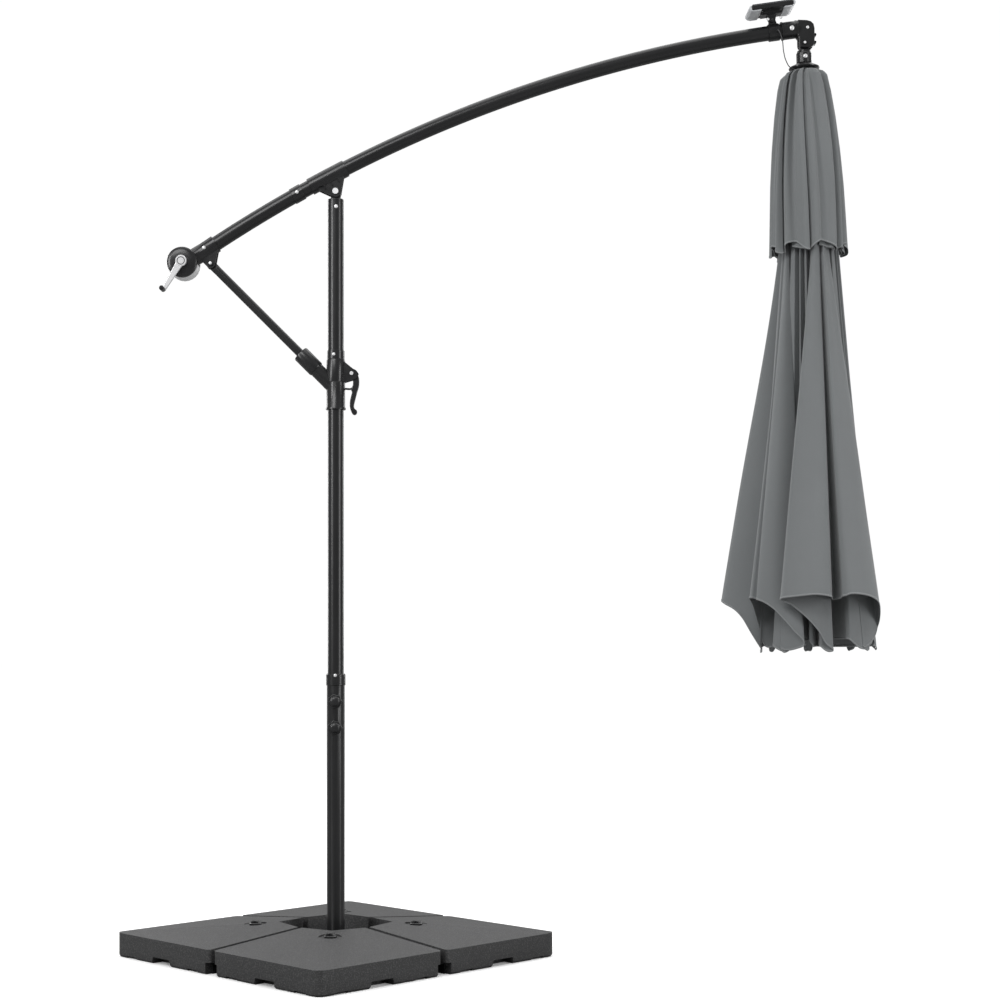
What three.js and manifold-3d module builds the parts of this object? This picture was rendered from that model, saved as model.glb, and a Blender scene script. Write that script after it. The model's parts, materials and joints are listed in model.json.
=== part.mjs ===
// Cantilever parasol, folded: a cross base with four weights, a clamped two-part post,
// a curved arm sliding in a pivoting sleeve, a strut on a slider, a crank reel, and a
// closed eight-rib canopy hanging from the arm's tip.
// Millimetres, +Z up. The origin is the middle of the cross base, on the ground.
// +X points along the arm to the canopy, and -Y is the side that the knobs and crank face.
import * as THREE from 'three';
import { mergeVertices } from 'three/addons/utils/BufferGeometryUtils.js';
import Module from 'manifold-3d';

const wasm = await Module();
wasm.setup();

// ---------------------------------------------------------------- driving dimensions
const GAP = 0.3;                 // kept between pieces that touch
const SIDES = 20;                // facets round a tube
const ARM_SIDES = 16;            // facets round the arm and the bores it runs in

const BASE_SIDE = 820;           // square made by the four weights
const WEIGHT_PEAK = 100;         // height at which their sloping tops would meet
const WEIGHT_EDGE = 63;          // height of their outer edges
const GROOVE = 16;               // between two weights
const CHANNEL = 46;              // under them, over a cross bar
const CHANNEL_TOP = 30;
const BAR_WIDTH = 42;
const BAR_HEIGHT = 28;
const BAR_LENGTH = 780;
const CAP_REACH = 211;           // post axis to a filler cap, along the base's diagonal

const LOWER_POST_R = 23.5;
const LOWER_POST_TOP = 721.5;
const UPPER_POST_R = 21;
const UPPER_POST_BOTTOM = 450;
const UPPER_POST_TOP = 1985;
const KNOB_HEIGHTS = { knob_upper: 671, knob_lower: 602 };

const SLIDER_BOTTOM = 1437;
const SLIDER_TOP = 1569;
const SLIDER_R = 24.5;
const STOP_TOP = 1592;
const STRUT_FOOT_Z = 1492;       // where the strut's axis meets the post's axis
const PIVOT = { x: 0, z: 2009.5 };          // arm sleeve on the post head
const STRUT_PIVOT = { x: -328, z: 1820 };   // strut on the crank housing

const ARM_R = 19;
const ARC_R = 3600;              // radius of the arm's bend
const ARC = { x: 1662.8, z: -1134 };        // centre of the arm's bend
const ARM_REAR_X = -352;
const ARM_FRONT_X = 1221;
const SLEEVE_X = [-67, 26];
const REEL = { x: -401, z: 1821, r: 40, halfWidth: 24 };
const HUB_PIN = { x: 1231, z: 2398 };       // canopy hinge in the elbow
const HANG = 0.0244;             // lean of the hanging canopy, in radians: its foot is towards +X

const RIBS = 8;
const RIB_TOP_Z = 2302;
const RIB_TIP_Z = 832;
const RIB_TOP_R = 27;
const RIB_TIP_R = 135.2;

// ---------------------------------------------------------------- solids and booleans
function toSolid(geometry) {
  let plain = geometry.clone();
  plain.deleteAttribute('normal');
  if (plain.attributes.uv) plain.deleteAttribute('uv');
  plain = mergeVertices(plain, 1e-4);
  const triVerts = [];
  const index = plain.index.array;
  for (let i = 0; i < index.length; i += 3) {
    const [a, b, c] = [index[i], index[i + 1], index[i + 2]];
    if (a !== b && b !== c && c !== a) triVerts.push(a, b, c);
  }
  return new wasm.Manifold(new wasm.Mesh({
    numProp: 3,
    vertProperties: new Float32Array(plain.attributes.position.array),
    triVerts: new Uint32Array(triVerts),
  }));
}

function toGeometry(solid) {
  const mesh = solid.getMesh();
  const geometry = new THREE.BufferGeometry();
  geometry.setAttribute('position', new THREE.BufferAttribute(mesh.vertProperties, 3));
  geometry.setIndex(new THREE.BufferAttribute(mesh.triVerts, 1));
  return geometry;
}

// Joins the first list of geometries, then cuts the second list away.
function build(joined, cut = []) {
  let solid = toSolid(joined[0]);
  for (const piece of joined.slice(1)) solid = solid.add(toSolid(piece));
  for (const piece of cut) solid = solid.subtract(toSolid(piece));
  return toGeometry(solid);
}

function box(x0, x1, y0, y1, z0, z1) {
  const geometry = new THREE.BoxGeometry(x1 - x0, y1 - y0, z1 - z0);
  return geometry.translate((x0 + x1) / 2, (y0 + y1) / 2, (z0 + z1) / 2);
}

// A closed outline of [radius, height] points turned about Z.
function turned(profile, sides = SIDES) {
  const points = profile.map(([r, z]) => new THREE.Vector2(r, z));
  if (profile[0][0] > 0) points.push(points[0].clone());
  return new THREE.LatheGeometry(points, sides).rotateX(Math.PI / 2);
}

function discZ(r, z0, z1, sides = SIDES) {
  return turned([[0, z0], [r, z0], [r, z1], [0, z1]], sides);
}

function ringZ(outer, inner, z0, z1, sides = SIDES) {
  return turned([[inner, z0], [outer, z0], [outer, z1], [inner, z1]], sides);
}

// A round bar along Y, from y0 to y1, about the point (x, z).
function discY(r, y0, y1, x = 0, z = 0, sides = SIDES) {
  return discZ(r, -y1, -y0, sides).rotateX(Math.PI / 2).translate(x, 0, z);
}

// A round bar along X, from x0 to x1.
function discX(r, x0, x1, sides = SIDES) {
  return discZ(r, x0, x1, sides).rotateY(Math.PI / 2);
}

// An outline in the XZ plane, made y0 to y1 thick.
function plateXZ(points, y0, y1) {
  const shape = new THREE.Shape(points.map(([x, z]) => new THREE.Vector2(x, z)));
  const geometry = new THREE.ExtrudeGeometry(shape, { depth: y1 - y0, bevelEnabled: false });
  return geometry.rotateX(Math.PI / 2).translate(0, y1, 0);
}

// Points of a circular arc, in degrees.
function arcPoints(x, z, r, from, to, steps = 6) {
  const points = [];
  for (let i = 0; i <= steps; i += 1) {
    const angle = THREE.MathUtils.degToRad(from + (to - from) * i / steps);
    points.push([x + r * Math.cos(angle), z + r * Math.sin(angle)]);
  }
  return points;
}

// ---------------------------------------------------------------- materials and scene
const paint = { color: 0x33363a, roughness: 0.38, metalness: 0.35 };
const zinc = { color: 0xc9cbcc, roughness: 0.3, metalness: 0.9 };
const chrome = { color: 0xe4e6e8, roughness: 0.12, metalness: 1 };
const plastic = { color: 0x2c2e31, roughness: 0.5, metalness: 0 };
const weightPlastic = { color: 0x3f4143, roughness: 0.7, metalness: 0 };
const frosted = { color: 0xd5d9dc, roughness: 0.35, metalness: 0 };
const cellGlass = { color: 0x14161f, roughness: 0.12, metalness: 0 };
const fabric = { color: 0x70767a, roughness: 0.95, metalness: 0 };
const wireSkin = { color: 0x3a3c3e, roughness: 0.6, metalness: 0 };

const parasol = new THREE.Group();

function place(name, geometry, look, parent = parasol) {
  const mesh = new THREE.Mesh(geometry, new THREE.MeshStandardMaterial(look));
  mesh.name = name;
  parent.add(mesh);
  return mesh;
}

function group(x, z, slope = 0, parent = parasol) {
  const holder = new THREE.Group();
  holder.position.set(x, 0, z);
  holder.rotation.y = -slope;
  parent.add(holder);
  return holder;
}

// ---------------------------------------------------------------- cross base
// Each bar is a channel with its open side down. They halve over each other in the middle,
// where the lower bar has a floor plate that rests on the ground.
function crossBar(notchLow, notchHigh, floor) {
  const half = BAR_LENGTH / 2;
  const wall = 2.5;
  const side = BAR_WIDTH / 2;
  const notch = side + 0.4;
  const plateHalf = 60;
  const inside = [wall - side, side - wall];
  const cuts = [
    box(-half - 1, half + 1, ...inside, floor, BAR_HEIGHT - wall),
    box(-half - 1, -plateHalf, ...inside, -1, BAR_HEIGHT - wall),
    box(plateHalf, half + 1, ...inside, -1, BAR_HEIGHT - wall),
    box(-notch, notch, -side - 1, side + 1, notchLow, notchHigh),
  ];
  return build([box(-half, half, -side, side, 0, BAR_HEIGHT)], cuts);
}

function addCrossBars() {
  const lapHeight = BAR_HEIGHT / 2;
  const turn = Math.PI / 4;
  const lower = place('cross_bar_a', crossBar(lapHeight - 0.2, BAR_HEIGHT + 1, 3), paint);
  lower.rotation.z = turn;
  const upper = place('cross_bar_b', crossBar(-1, lapHeight + 0.2, -1), paint);
  upper.rotation.z = turn + Math.PI / 2;
}

// One quadrant of the square, with a notch at its inner corner for the post's foot.
function weightOutline() {
  const inner = GROOVE / 2;
  const outer = BASE_SIDE / 2;
  const mouth = 123;
  const notch = 106;
  const cornerR = 24;
  const channelR = 12;
  const shape = new THREE.Shape();
  shape.moveTo(mouth, inner);
  shape.lineTo(outer - channelR, inner);
  shape.absarc(outer - channelR, inner + channelR, channelR, -Math.PI / 2, 0);
  shape.lineTo(outer, outer - cornerR);
  shape.absarc(outer - cornerR, outer - cornerR, cornerR, 0, Math.PI / 2);
  shape.lineTo(inner + channelR, outer);
  shape.absarc(inner + channelR, outer - channelR, channelR, Math.PI / 2, Math.PI);
  shape.lineTo(inner, mouth);
  shape.lineTo(notch, notch);
  return shape;
}

const FILLER = { recessR: 30, recessDepth: 4.5, holeR: 13, holeDepth: 24 };

// Height of a weight's top at a distance from the post's axis, square to an outer edge.
function weightTop(distance) {
  return WEIGHT_PEAK - (WEIGHT_PEAK - WEIGHT_EDGE) * distance / (BASE_SIDE / 2);
}

// What is cut away above the top's two slopes, and below it over the two cross bars.
function weightSlopes() {
  const far = BASE_SIDE / 2 + 20;
  const sky = WEIGHT_PEAK + 40;
  const above = [[0, weightTop(0)], [far, weightTop(far)], [far, sky], [0, sky]];
  return [
    plateXZ(above, -10, far),
    plateXZ(above, -far, 10).rotateZ(Math.PI / 2),
    box(-1, far, -1, CHANNEL / 2, -1, CHANNEL_TOP),
    box(-1, CHANNEL / 2, -1, far, -1, CHANNEL_TOP),
  ];
}

function baseWeight() {
  const bevel = 5;
  const body = new THREE.ExtrudeGeometry(weightOutline(), {
    depth: WEIGHT_PEAK + 2 * bevel,
    bevelThickness: bevel,
    bevelSize: bevel,
    bevelOffset: -bevel,
    bevelSegments: 1,
    curveSegments: 2,
  }).translate(0, 0, bevel);
  const cuts = weightSlopes();
  const cap = CAP_REACH / Math.SQRT2;
  const floor = weightTop(cap) - FILLER.recessDepth;
  cuts.push(discZ(FILLER.recessR, floor, WEIGHT_PEAK, 16).translate(cap, cap, 0));
  cuts.push(discZ(FILLER.holeR, floor - FILLER.holeDepth, floor + 1, 12).translate(cap, cap, 0));
  const middle = (GROOVE + BASE_SIDE) / 4;
  const outer = BASE_SIDE / 2;
  for (const turn of [0, 1]) {
    const hand = plateXZ(
      [[middle - 40, -1], [middle + 40, -1], [middle + 35, 17], [middle - 35, 17]],
      outer - 34,
      outer + 1,
    );
    const step = box(middle - 150, middle - 110, outer - 9, outer + 1, -1, 6);
    const step2 = box(middle + 110, middle + 150, outer - 9, outer + 1, -1, 6);
    for (const cut of [hand, step, step2]) {
      if (turn) cut.rotateZ(-Math.PI / 2).translate(0, 2 * middle, 0);
      cuts.push(cut);
    }
  }
  return build([body], cuts);
}

// A screw cap with a raised grip bar, lying in the weight's recess.
function fillCap() {
  const seat = weightTop(CAP_REACH / Math.SQRT2) - FILLER.recessDepth + GAP;
  const profile = [[0, seat - 14], [11.8, seat - 14], [11.8, seat], [16.5, seat]];
  profile.push([16.5, seat + 4], [15, seat + 5.5], [0, seat + 5.5]);
  return build([
    turned(profile, 12),
    box(-13, 13, -2.5, 2.5, seat + 5, seat + 10),
    box(-2.5, 2.5, -13, 13, seat + 5, seat + 10),
  ]);
}

function addWeights() {
  const weight = baseWeight();
  const cap = fillCap();
  for (let i = 0; i < 4; i += 1) {
    const quarter = i * Math.PI / 2;
    const body = place(`base_weight_${i + 1}`, weight, weightPlastic);
    body.rotation.z = quarter - Math.PI / 4;
    const lid = place(`fill_cap_${i + 1}`, cap, plastic);
    lid.position.set(CAP_REACH * Math.cos(quarter), CAP_REACH * Math.sin(quarter), 0);
    lid.rotation.z = quarter + 0.6;
  }
}

// ---------------------------------------------------------------- lower post
const KNOB_BOSS_Y = -30;

function lowerPost() {
  const inner = UPPER_POST_R + 0.9;
  const foot = BAR_HEIGHT + GAP;
  const tube = turned([
    [inner, foot], [60, foot], [60, foot + 6], [30, foot + 6],
    [LOWER_POST_R, foot + 14], [LOWER_POST_R, LOWER_POST_TOP], [inner, LOWER_POST_TOP],
  ]);
  const joined = [tube];
  const cuts = [];
  for (const z of Object.values(KNOB_HEIGHTS)) {
    joined.push(discY(9, KNOB_BOSS_Y, -inner - 0.4, 0, z, 16));
    cuts.push(discY(4.4, KNOB_BOSS_Y - 1, 1 - inner, 0, z, 12));
  }
  cuts.push(discZ(inner, foot, LOWER_POST_TOP));
  return build(joined, cuts);
}

function postCollar() {
  const top = 743;
  const seat = LOWER_POST_TOP + GAP;
  const bore = UPPER_POST_R + 0.5;
  return turned([
    [LOWER_POST_R + 0.4, seat - 10], [25.5, seat - 9], [25.5, top - 3], [23.6, top],
    [bore, top], [bore, seat], [LOWER_POST_R + 0.4, seat],
  ]);
}

// A star knob with seven lobes, a raised middle and a stud that presses on the upper post.
function knob() {
  const lobes = 7;
  const outline = new THREE.Shape();
  const steps = lobes * 4;
  for (let i = 0; i < steps; i += 1) {
    const angle = 2 * Math.PI * i / steps;
    const r = 17.4 + 1.3 * Math.cos(lobes * angle);
    const point = [r * Math.cos(angle), r * Math.sin(angle)];
    if (i === 0) outline.moveTo(...point);
    else outline.lineTo(...point);
  }
  const disc = new THREE.ExtrudeGeometry(outline, {
    depth: 6,
    bevelThickness: 1.6,
    bevelSize: 1.6,
    bevelOffset: -0.8,
    bevelSegments: 1,
  }).rotateX(Math.PI / 2).translate(0, KNOB_BOSS_Y - 2, 0);
  const dome = turned([[0, 0], [14, 0], [13, 7], [10, 9.5], [0, 10.5]], 12);
  dome.rotateX(Math.PI / 2).translate(0, KNOB_BOSS_Y - 8.5, 0);
  const stud = discY(4, KNOB_BOSS_Y - 4, -UPPER_POST_R - GAP, 0, 0, 12);
  return build([disc, dome, stud]);
}

function addLowerPost() {
  place('lower_post', lowerPost(), paint);
  place('post_collar', postCollar(), plastic);
  for (const [name, z] of Object.entries(KNOB_HEIGHTS)) {
    place(name, knob(), plastic).position.z = z;
  }
}

// ---------------------------------------------------------------- upper post
function postHead() {
  const eye = [[-12, UPPER_POST_TOP + 4], [12, UPPER_POST_TOP + 4]];
  eye.push(...arcPoints(PIVOT.x, PIVOT.z, 14, -15, 195, 10));
  return build(
    [
      discZ(UPPER_POST_R - 1.8, UPPER_POST_TOP - 34, UPPER_POST_TOP + 2),
      discZ(UPPER_POST_R, UPPER_POST_TOP + GAP, UPPER_POST_TOP + 5),
      plateXZ(eye, -8, 8),
    ],
    [discY(4.4, -9, 9, PIVOT.x, PIVOT.z, 16)],
  );
}

function addUpperPost() {
  const wall = 1.5;
  const bore = UPPER_POST_R - wall;
  place('upper_post', ringZ(UPPER_POST_R, bore, UPPER_POST_BOTTOM, UPPER_POST_TOP), paint);
  place('slider_stop', ringZ(23, UPPER_POST_R + 0.4, SLIDER_TOP + 0.4, STOP_TOP), plastic);
  place('post_head', postHead(), plastic);
}

// ---------------------------------------------------------------- slider and lever
const SLIDER_BORE = UPPER_POST_R + 0.5;
const STUB_LENGTH = 71;          // along the strut's axis, from the post's axis
const SOCKET_LENGTH = 60;
const LEVER_PIVOT = { x: 42, z: 1532 };
const CHEEK_Y = 7.2;

// The branch points up and back at 45 degrees.
function alongStrut(geometry) {
  return geometry.rotateY(-Math.PI / 4).translate(0, 0, STRUT_FOOT_Z);
}

function sliderBody() {
  const seam = (SLIDER_BOTTOM + SLIDER_TOP) / 2 + 6;
  const sleeve = turned([
    [SLIDER_BORE, SLIDER_BOTTOM], [26.5, SLIDER_BOTTOM], [26.5, SLIDER_BOTTOM + 4],
    [SLIDER_R, SLIDER_BOTTOM + 7], [SLIDER_R, seam - 1], [SLIDER_R - 0.8, seam],
    [SLIDER_R, seam + 1], [SLIDER_R, SLIDER_TOP - 2], [23.5, SLIDER_TOP], [SLIDER_BORE, SLIDER_TOP],
  ]);
  const stub = alongStrut(discZ(19.5, 6, STUB_LENGTH));
  const cheek = [[19, 1566], [46, 1544], [54, 1540], [60, 1532], [56, 1520], [46, 1515], [19, 1507]];
  return build(
    [sleeve, stub, plateXZ(cheek, CHEEK_Y, CHEEK_Y + 3.2), plateXZ(cheek, -CHEEK_Y - 3.2, -CHEEK_Y)],
    [
      discZ(SLIDER_BORE, SLIDER_BOTTOM - 10, SLIDER_TOP + 10),
      discY(3.4, -12, 12, LEVER_PIVOT.x, LEVER_PIVOT.z, 12),
      discX(3, 0, 30, 12).translate(0, 0, STRUT_FOOT_Z),
    ],
  );
}

function strutSocket() {
  const start = STUB_LENGTH + GAP;
  const end = start + SOCKET_LENGTH;
  return alongStrut(turned([
    [18.2, start], [20.5, start], [22, start + 3], [22, end - 2], [21, end], [18.2, end],
  ]));
}

// A flat lever with a rounded top, a straight handle and a tip that curls outwards.
function lever() {
  const { x, z } = LEVER_PIVOT;
  const outline = [[x + 3, z - 40], [x + 5, z - 19]];
  outline.push(...arcPoints(x, z, 8.5, 225, 75, 7));
  outline.push([x + 14, z + 8], [x + 21, z - 2], [x + 23, z - 18], [x + 19, z - 51]);
  outline.push([x + 12, z - 85], [x + 16, z - 99], [x + 10, z - 103], [x + 3, z - 89]);
  outline.push([x + 1, z - 70], [x + 7, z - 49]);
  return build([plateXZ(outline.reverse(), -6.6, 6.6)], [discY(3.4, -8, 8, x, z, 12)]);
}

function throughBolt(reach, headR = 6.5, headDepth = 4.5, shankR = 4) {
  return build([
    discY(shankR, -reach - 1, reach + 1, 0, 0, 12),
    discY(headR, -reach - GAP - headDepth, -reach - GAP, 0, 0, 12),
    discY(headR, reach + GAP, reach + GAP + headDepth, 0, 0, 6),
  ]);
}

function addSlider() {
  place('slider_body', sliderBody(), plastic);
  place('strut_socket', strutSocket(), plastic);
  place('lever', lever(), plastic);
  const bolt = place('lever_bolt', throughBolt(CHEEK_Y + 3.2, 5, 3, 3), zinc);
  bolt.position.set(LEVER_PIVOT.x, 0, LEVER_PIVOT.z);
  const pin = place('lock_pin', discX(2.3, SLIDER_BORE + 0.3, LEVER_PIVOT.x + 2.4, 12), zinc);
  pin.position.z = STRUT_FOOT_Z;
}

// ---------------------------------------------------------------- arm
function armAngle(x) {
  return Math.asin((x - ARC.x) / ARC_R);
}

function armPoint(x) {
  return { x, z: ARC.z + ARC_R * Math.cos(armAngle(x)), slope: -armAngle(x) };
}

class ArmArc extends THREE.Curve {
  constructor(fromX, toX) {
    super();
    this.from = armAngle(fromX);
    this.to = armAngle(toX);
  }

  getPoint(t, target = new THREE.Vector3()) {
    const angle = this.from + (this.to - this.from) * t;
    return target.set(ARC.x + ARC_R * Math.sin(angle), 0, ARC.z + ARC_R * Math.cos(angle));
  }
}

// A tube of the arm's bend, or a solid bar where inner is 0.
function bentTube(fromX, toX, outer, inner, steps) {
  const section = new THREE.Shape();
  section.absarc(0, 0, outer, 0, 2 * Math.PI);
  if (inner > 0) {
    const hole = new THREE.Path();
    hole.absarc(0, 0, inner, 0, 2 * Math.PI);
    section.holes.push(hole);
  }
  const path = new ArmArc(fromX, toX);
  const settings = { steps, extrudePath: path, curveSegments: ARM_SIDES / 2, bevelEnabled: false };
  return new THREE.ExtrudeGeometry(section, settings);
}

const ARM_BORE = ARM_R + 1.1;
const SLEEVE_R = 22.5;

// The sleeve's two cheeks straddle the post head, with three ribs on the outside of each.
function armSleeve() {
  const middle = armPoint((SLEEVE_X[0] + SLEEVE_X[1]) / 2);
  const pivot = new THREE.Vector3(PIVOT.x - middle.x, 0, PIVOT.z - middle.z);
  pivot.applyAxisAngle(new THREE.Vector3(0, 1, 0), middle.slope);
  const outline = [[-40, -16]];
  outline.push(...arcPoints(pivot.x, pivot.z, 15, 205, 335, 8));
  outline.push([40, -16]);
  const toWorld = (piece) => piece.rotateY(-middle.slope).translate(middle.x, 0, middle.z);
  const joined = [bentTube(...SLEEVE_X, SLEEVE_R, 0, 4)];
  for (const side of [-1, 1]) {
    const [y0, y1] = side < 0 ? [-13, -8.6] : [8.6, 13];
    joined.push(toWorld(plateXZ(outline, y0, y1)));
    for (const x of [-20, 0, 20]) {
      const drop = x === 0 ? -28 : -27;
      const rib = box(x - 1.6, x + 1.6, side < 0 ? -16 : 12, side < 0 ? -12 : 16, drop, -14);
      joined.push(toWorld(rib));
    }
  }
  const cuts = [bentTube(SLEEVE_X[0] - 8, SLEEVE_X[1] + 8, ARM_BORE, 0, 5)];
  cuts.push(discY(4.4, -20, 20, PIVOT.x, PIVOT.z, 16));
  return build(joined, cuts);
}

function armCollar() {
  const ring = ringZ(21.2, ARM_R + 0.6, -15, 15).rotateY(Math.PI / 2);
  const bolt = discY(4, -25, -20.4, 0, 0, 12);
  return build([ring, bolt]);
}

function addArm() {
  place('arm_sleeve', armSleeve(), plastic);
  place('sleeve_bolt', throughBolt(13, 8, 5), zinc).position.set(PIVOT.x, 0, PIVOT.z);
  place('arm_tube', bentTube(ARM_REAR_X, ARM_FRONT_X, ARM_R, ARM_R - 1.6, 16), paint);
  const collar = armPoint(-100.5);
  place('arm_collar', armCollar(), plastic, group(collar.x, collar.z, collar.slope));
}

// ---------------------------------------------------------------- crank housing
const HOUSING_END = armPoint(-345);
const LUG_Y = 9;
const LUG_THICK = 5;

function crankHousing() {
  const { slope } = HOUSING_END;
  const reach = Math.hypot(HOUSING_END.x - REEL.x, HOUSING_END.z - REEL.z);
  const lean = Math.atan2(HOUSING_END.z - REEL.z, HOUSING_END.x - REEL.x);
  const local = (piece) => piece.rotateY(-lean).translate(REEL.x, 0, REEL.z);
  const socket = discX(23, 20, reach + 4);
  const mouth = discX(23, 0, 36).rotateY(-slope).translate(HOUSING_END.x, 0, HOUSING_END.z);
  const drum = discY(REEL.r, -REEL.halfWidth, REEL.halfWidth, REEL.x, REEL.z, 24);
  const lug = [[-362, 1838]];
  lug.push(...arcPoints(STRUT_PIVOT.x, STRUT_PIVOT.z, 12.5, 200, 340, 8));
  lug.push([-306, 1872]);
  const plates = [plateXZ(lug, LUG_Y, LUG_Y + LUG_THICK), plateXZ(lug, -LUG_Y - LUG_THICK, -LUG_Y)];
  const armBore = bentTube(ARM_REAR_X - 2, -300, ARM_R + 0.6, 0, 5);
  const cavity = discY(REEL.r - 4, -REEL.halfWidth - 1, REEL.halfWidth - 4, REEL.x, REEL.z, 24);
  const shaftHole = discY(5.6, 0, REEL.halfWidth + 1, REEL.x, REEL.z, 16);
  const cordWay = local(discX(7, 20, reach + 2, 12));
  const boltHole = discY(4.4, -20, 20, STRUT_PIVOT.x, STRUT_PIVOT.z, 16);
  return build(
    [local(socket), mouth, drum, ...plates],
    [armBore, cavity, shaftHole, cordWay, boltHole],
  );
}

function reelCover() {
  const hole = 7;
  return turned([
    [hole, 0], [REEL.r, 0], [REEL.r, 3], [REEL.r - 3, 6.5], [26, 9.5], [14, 11], [hole, 11],
  ], 24).rotateX(Math.PI / 2);
}

function reelBack() {
  return turned([[0, 0], [REEL.r + 1, 0], [REEL.r + 1, 3], [REEL.r - 3, 6], [0, 8]], 24)
    .rotateX(-Math.PI / 2);
}

// A spool with two flanges, on the crank's shaft.
function spool() {
  const bore = 5.4;
  const core = 13;
  const flange = 29;
  return turned([
    [bore, -17], [flange, -17], [flange, -14], [core, -14],
    [core, 14], [flange, 14], [flange, 17], [bore, 17],
  ]).rotateX(Math.PI / 2);
}

const CRANK = { length: 89, direction: THREE.MathUtils.degToRad(239), front: -46, back: -38 };

function crankHandle() {
  const { length, front, back } = CRANK;
  const blade = plateXZ([[0, -8.5], [length, -5], [length + 4, 0], [length, 5], [0, 8.5]], front + 1, back);
  blade.rotateY(-CRANK.direction);
  const tip = [length * Math.cos(CRANK.direction), length * Math.sin(CRANK.direction)];
  return build([
    discY(13, front, back, 0, 0),
    blade,
    discY(5, back - 1, REEL.halfWidth - 1, 0, 0, 12),
    discY(7.5, front - 1, back, ...tip, 16),
    discY(3.5, front - 32, front, ...tip, 12),
  ]);
}

function crankGrip() {
  const start = CRANK.front - 1 - GAP;
  return turned([[4, 0], [8, 0], [8.6, 3], [7.6, 16], [8.8, 28], [7, 31], [4, 31]], 16)
    .rotateX(Math.PI / 2)
    .translate(0, start, 0);
}

function addCrank() {
  place('crank_housing', crankHousing(), plastic);
  const reel = group(REEL.x, REEL.z);
  place('reel_cover', reelCover(), plastic, reel).position.y = -REEL.halfWidth - GAP;
  place('reel_back', reelBack(), zinc, reel).position.y = REEL.halfWidth + GAP;
  place('spool', spool(), plastic, reel);
  place('crank_handle', crankHandle(), chrome, reel);
  const grip = place('crank_grip', crankGrip(), plastic, reel);
  grip.position.x = CRANK.length * Math.cos(CRANK.direction);
  grip.position.z = CRANK.length * Math.sin(CRANK.direction);
}

// ---------------------------------------------------------------- strut
const STRUT_START = 98;          // lower end, along the strut's axis from the post's axis

function strutTube() {
  const end = Math.hypot(STRUT_PIVOT.x, STRUT_PIVOT.z - STRUT_FOOT_Z);
  const section = (inset) => {
    const half = 11 - inset;
    const flat = 3;
    return [
      ...arcPoints(0, flat, half, 0, 180, 8),
      ...arcPoints(0, -flat, half, 180, 360, 8),
    ];
  };
  const shape = new THREE.Shape(section(0).map(([x, y]) => new THREE.Vector2(x, y)));
  shape.holes.push(new THREE.Path(section(2).map(([x, y]) => new THREE.Vector2(x, y))));
  const tube = new THREE.ExtrudeGeometry(shape, { depth: end - 24 - STRUT_START, bevelEnabled: false });
  tube.translate(0, 0, STRUT_START);
  const plugShape = new THREE.Shape(section(0).map(([x, y]) => new THREE.Vector2(x, y)));
  const plug = new THREE.ExtrudeGeometry(plugShape, { depth: 8, bevelEnabled: false });
  plug.translate(0, 0, end - 28);
  const eye = plateXZ([[-11, end - 22], [11, end - 22], ...arcPoints(0, end, 11, 0, 180, 10)], -8, 8);
  const joined = build([tube, plug, eye], [discY(4.4, -9, 9, 0, end, 16)]);
  return alongStrut(joined);
}

function addStrut() {
  place('strut_tube', strutTube(), paint);
  const bolt = place('strut_bolt', throughBolt(LUG_Y + LUG_THICK, 7, 4.5), zinc);
  bolt.position.set(STRUT_PIVOT.x, 0, STRUT_PIVOT.z);
}

// ---------------------------------------------------------------- elbow and crown
const POLE_R = 12.5;
const POLE_BORE = POLE_R + 0.4;
const POLE_TOP = 2374;
const POLE_BOTTOM = 1310;

function elbowUpper() {
  const head = [[1206, 2419], [1213, 2408]];
  head.push(...arcPoints(HUB_PIN.x, HUB_PIN.z, 14, 190, 350, 8));
  head.push([1256, 2408], [1257, 2444], ...arcPoints(1247, 2449, 10, 0, 90, 4), [1206, 2458]);
  const collar = bentTube(1174, 1212, 22.5, 0, 2);
  return build(
    [collar, plateXZ(head, -17, 17)],
    [
      bentTube(1150, 1223, ARM_R + 0.6, 0, 3),
      box(1190, 1270, -8.5, 8.5, 2370, 2414),
      discY(4.4, -20, 20, HUB_PIN.x, HUB_PIN.z, 16),
    ],
  );
}

function elbowLower() {
  const tongue = [[-11, -20], [11, -20], ...arcPoints(0, 0, 12, 0, 180, 10)];
  const socket = turned([[POLE_BORE, -48], [17, -48], [18, -45], [18, -20], [15, -17], [POLE_BORE, -17]]);
  const crownCap = discZ(17, -21, -17);
  return build([socket, crownCap, plateXZ(tongue, -8, 8)], [discY(4.4, -9, 9, 0, 0, 16)]);
}

// The disc that holds the fabric's top, with a small boss where the wire goes in.
function crownCap() {
  return turned([
    [POLE_BORE, 2330], [26, 2330], [39, 2335], [40, 2338], [39, 2340],
    [20, 2347], [POLE_BORE, 2347],
  ], 24);
}

function ribHub() {
  const slots = [];
  for (let i = 0; i < RIBS; i += 1) {
    slots.push(box(20, 40, -5.6, 5.6, 2280, 2330).rotateZ(2 * Math.PI * i / RIBS));
  }
  return build([ringZ(29, POLE_BORE, 2292, 2316, 16)], slots);
}

// The lower hub that the lift cord pulls up the pole to spread the ribs.
function runner() {
  return turned([
    [POLE_BORE, 1330], [20, 1330], [27, 1336], [27, 1352], [18, 1356], [18, 1378], [POLE_BORE, 1378],
  ]);
}

function addCrown(axis) {
  place('elbow_upper', elbowUpper(), plastic);
  place('elbow_pin', throughBolt(17, 6, 3.5), zinc).position.set(HUB_PIN.x, 0, HUB_PIN.z);
  place('elbow_lower', elbowLower(), plastic, group(HUB_PIN.x, HUB_PIN.z, HANG));
  place('crown_cap', crownCap(), plastic, axis);
  place('canopy_pole', ringZ(POLE_R, POLE_R - 1.5, POLE_BOTTOM, POLE_TOP, 20), zinc, axis);
  place('rib_hub', ribHub(), plastic, axis);
  place('runner', runner(), plastic, axis);
}

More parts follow.
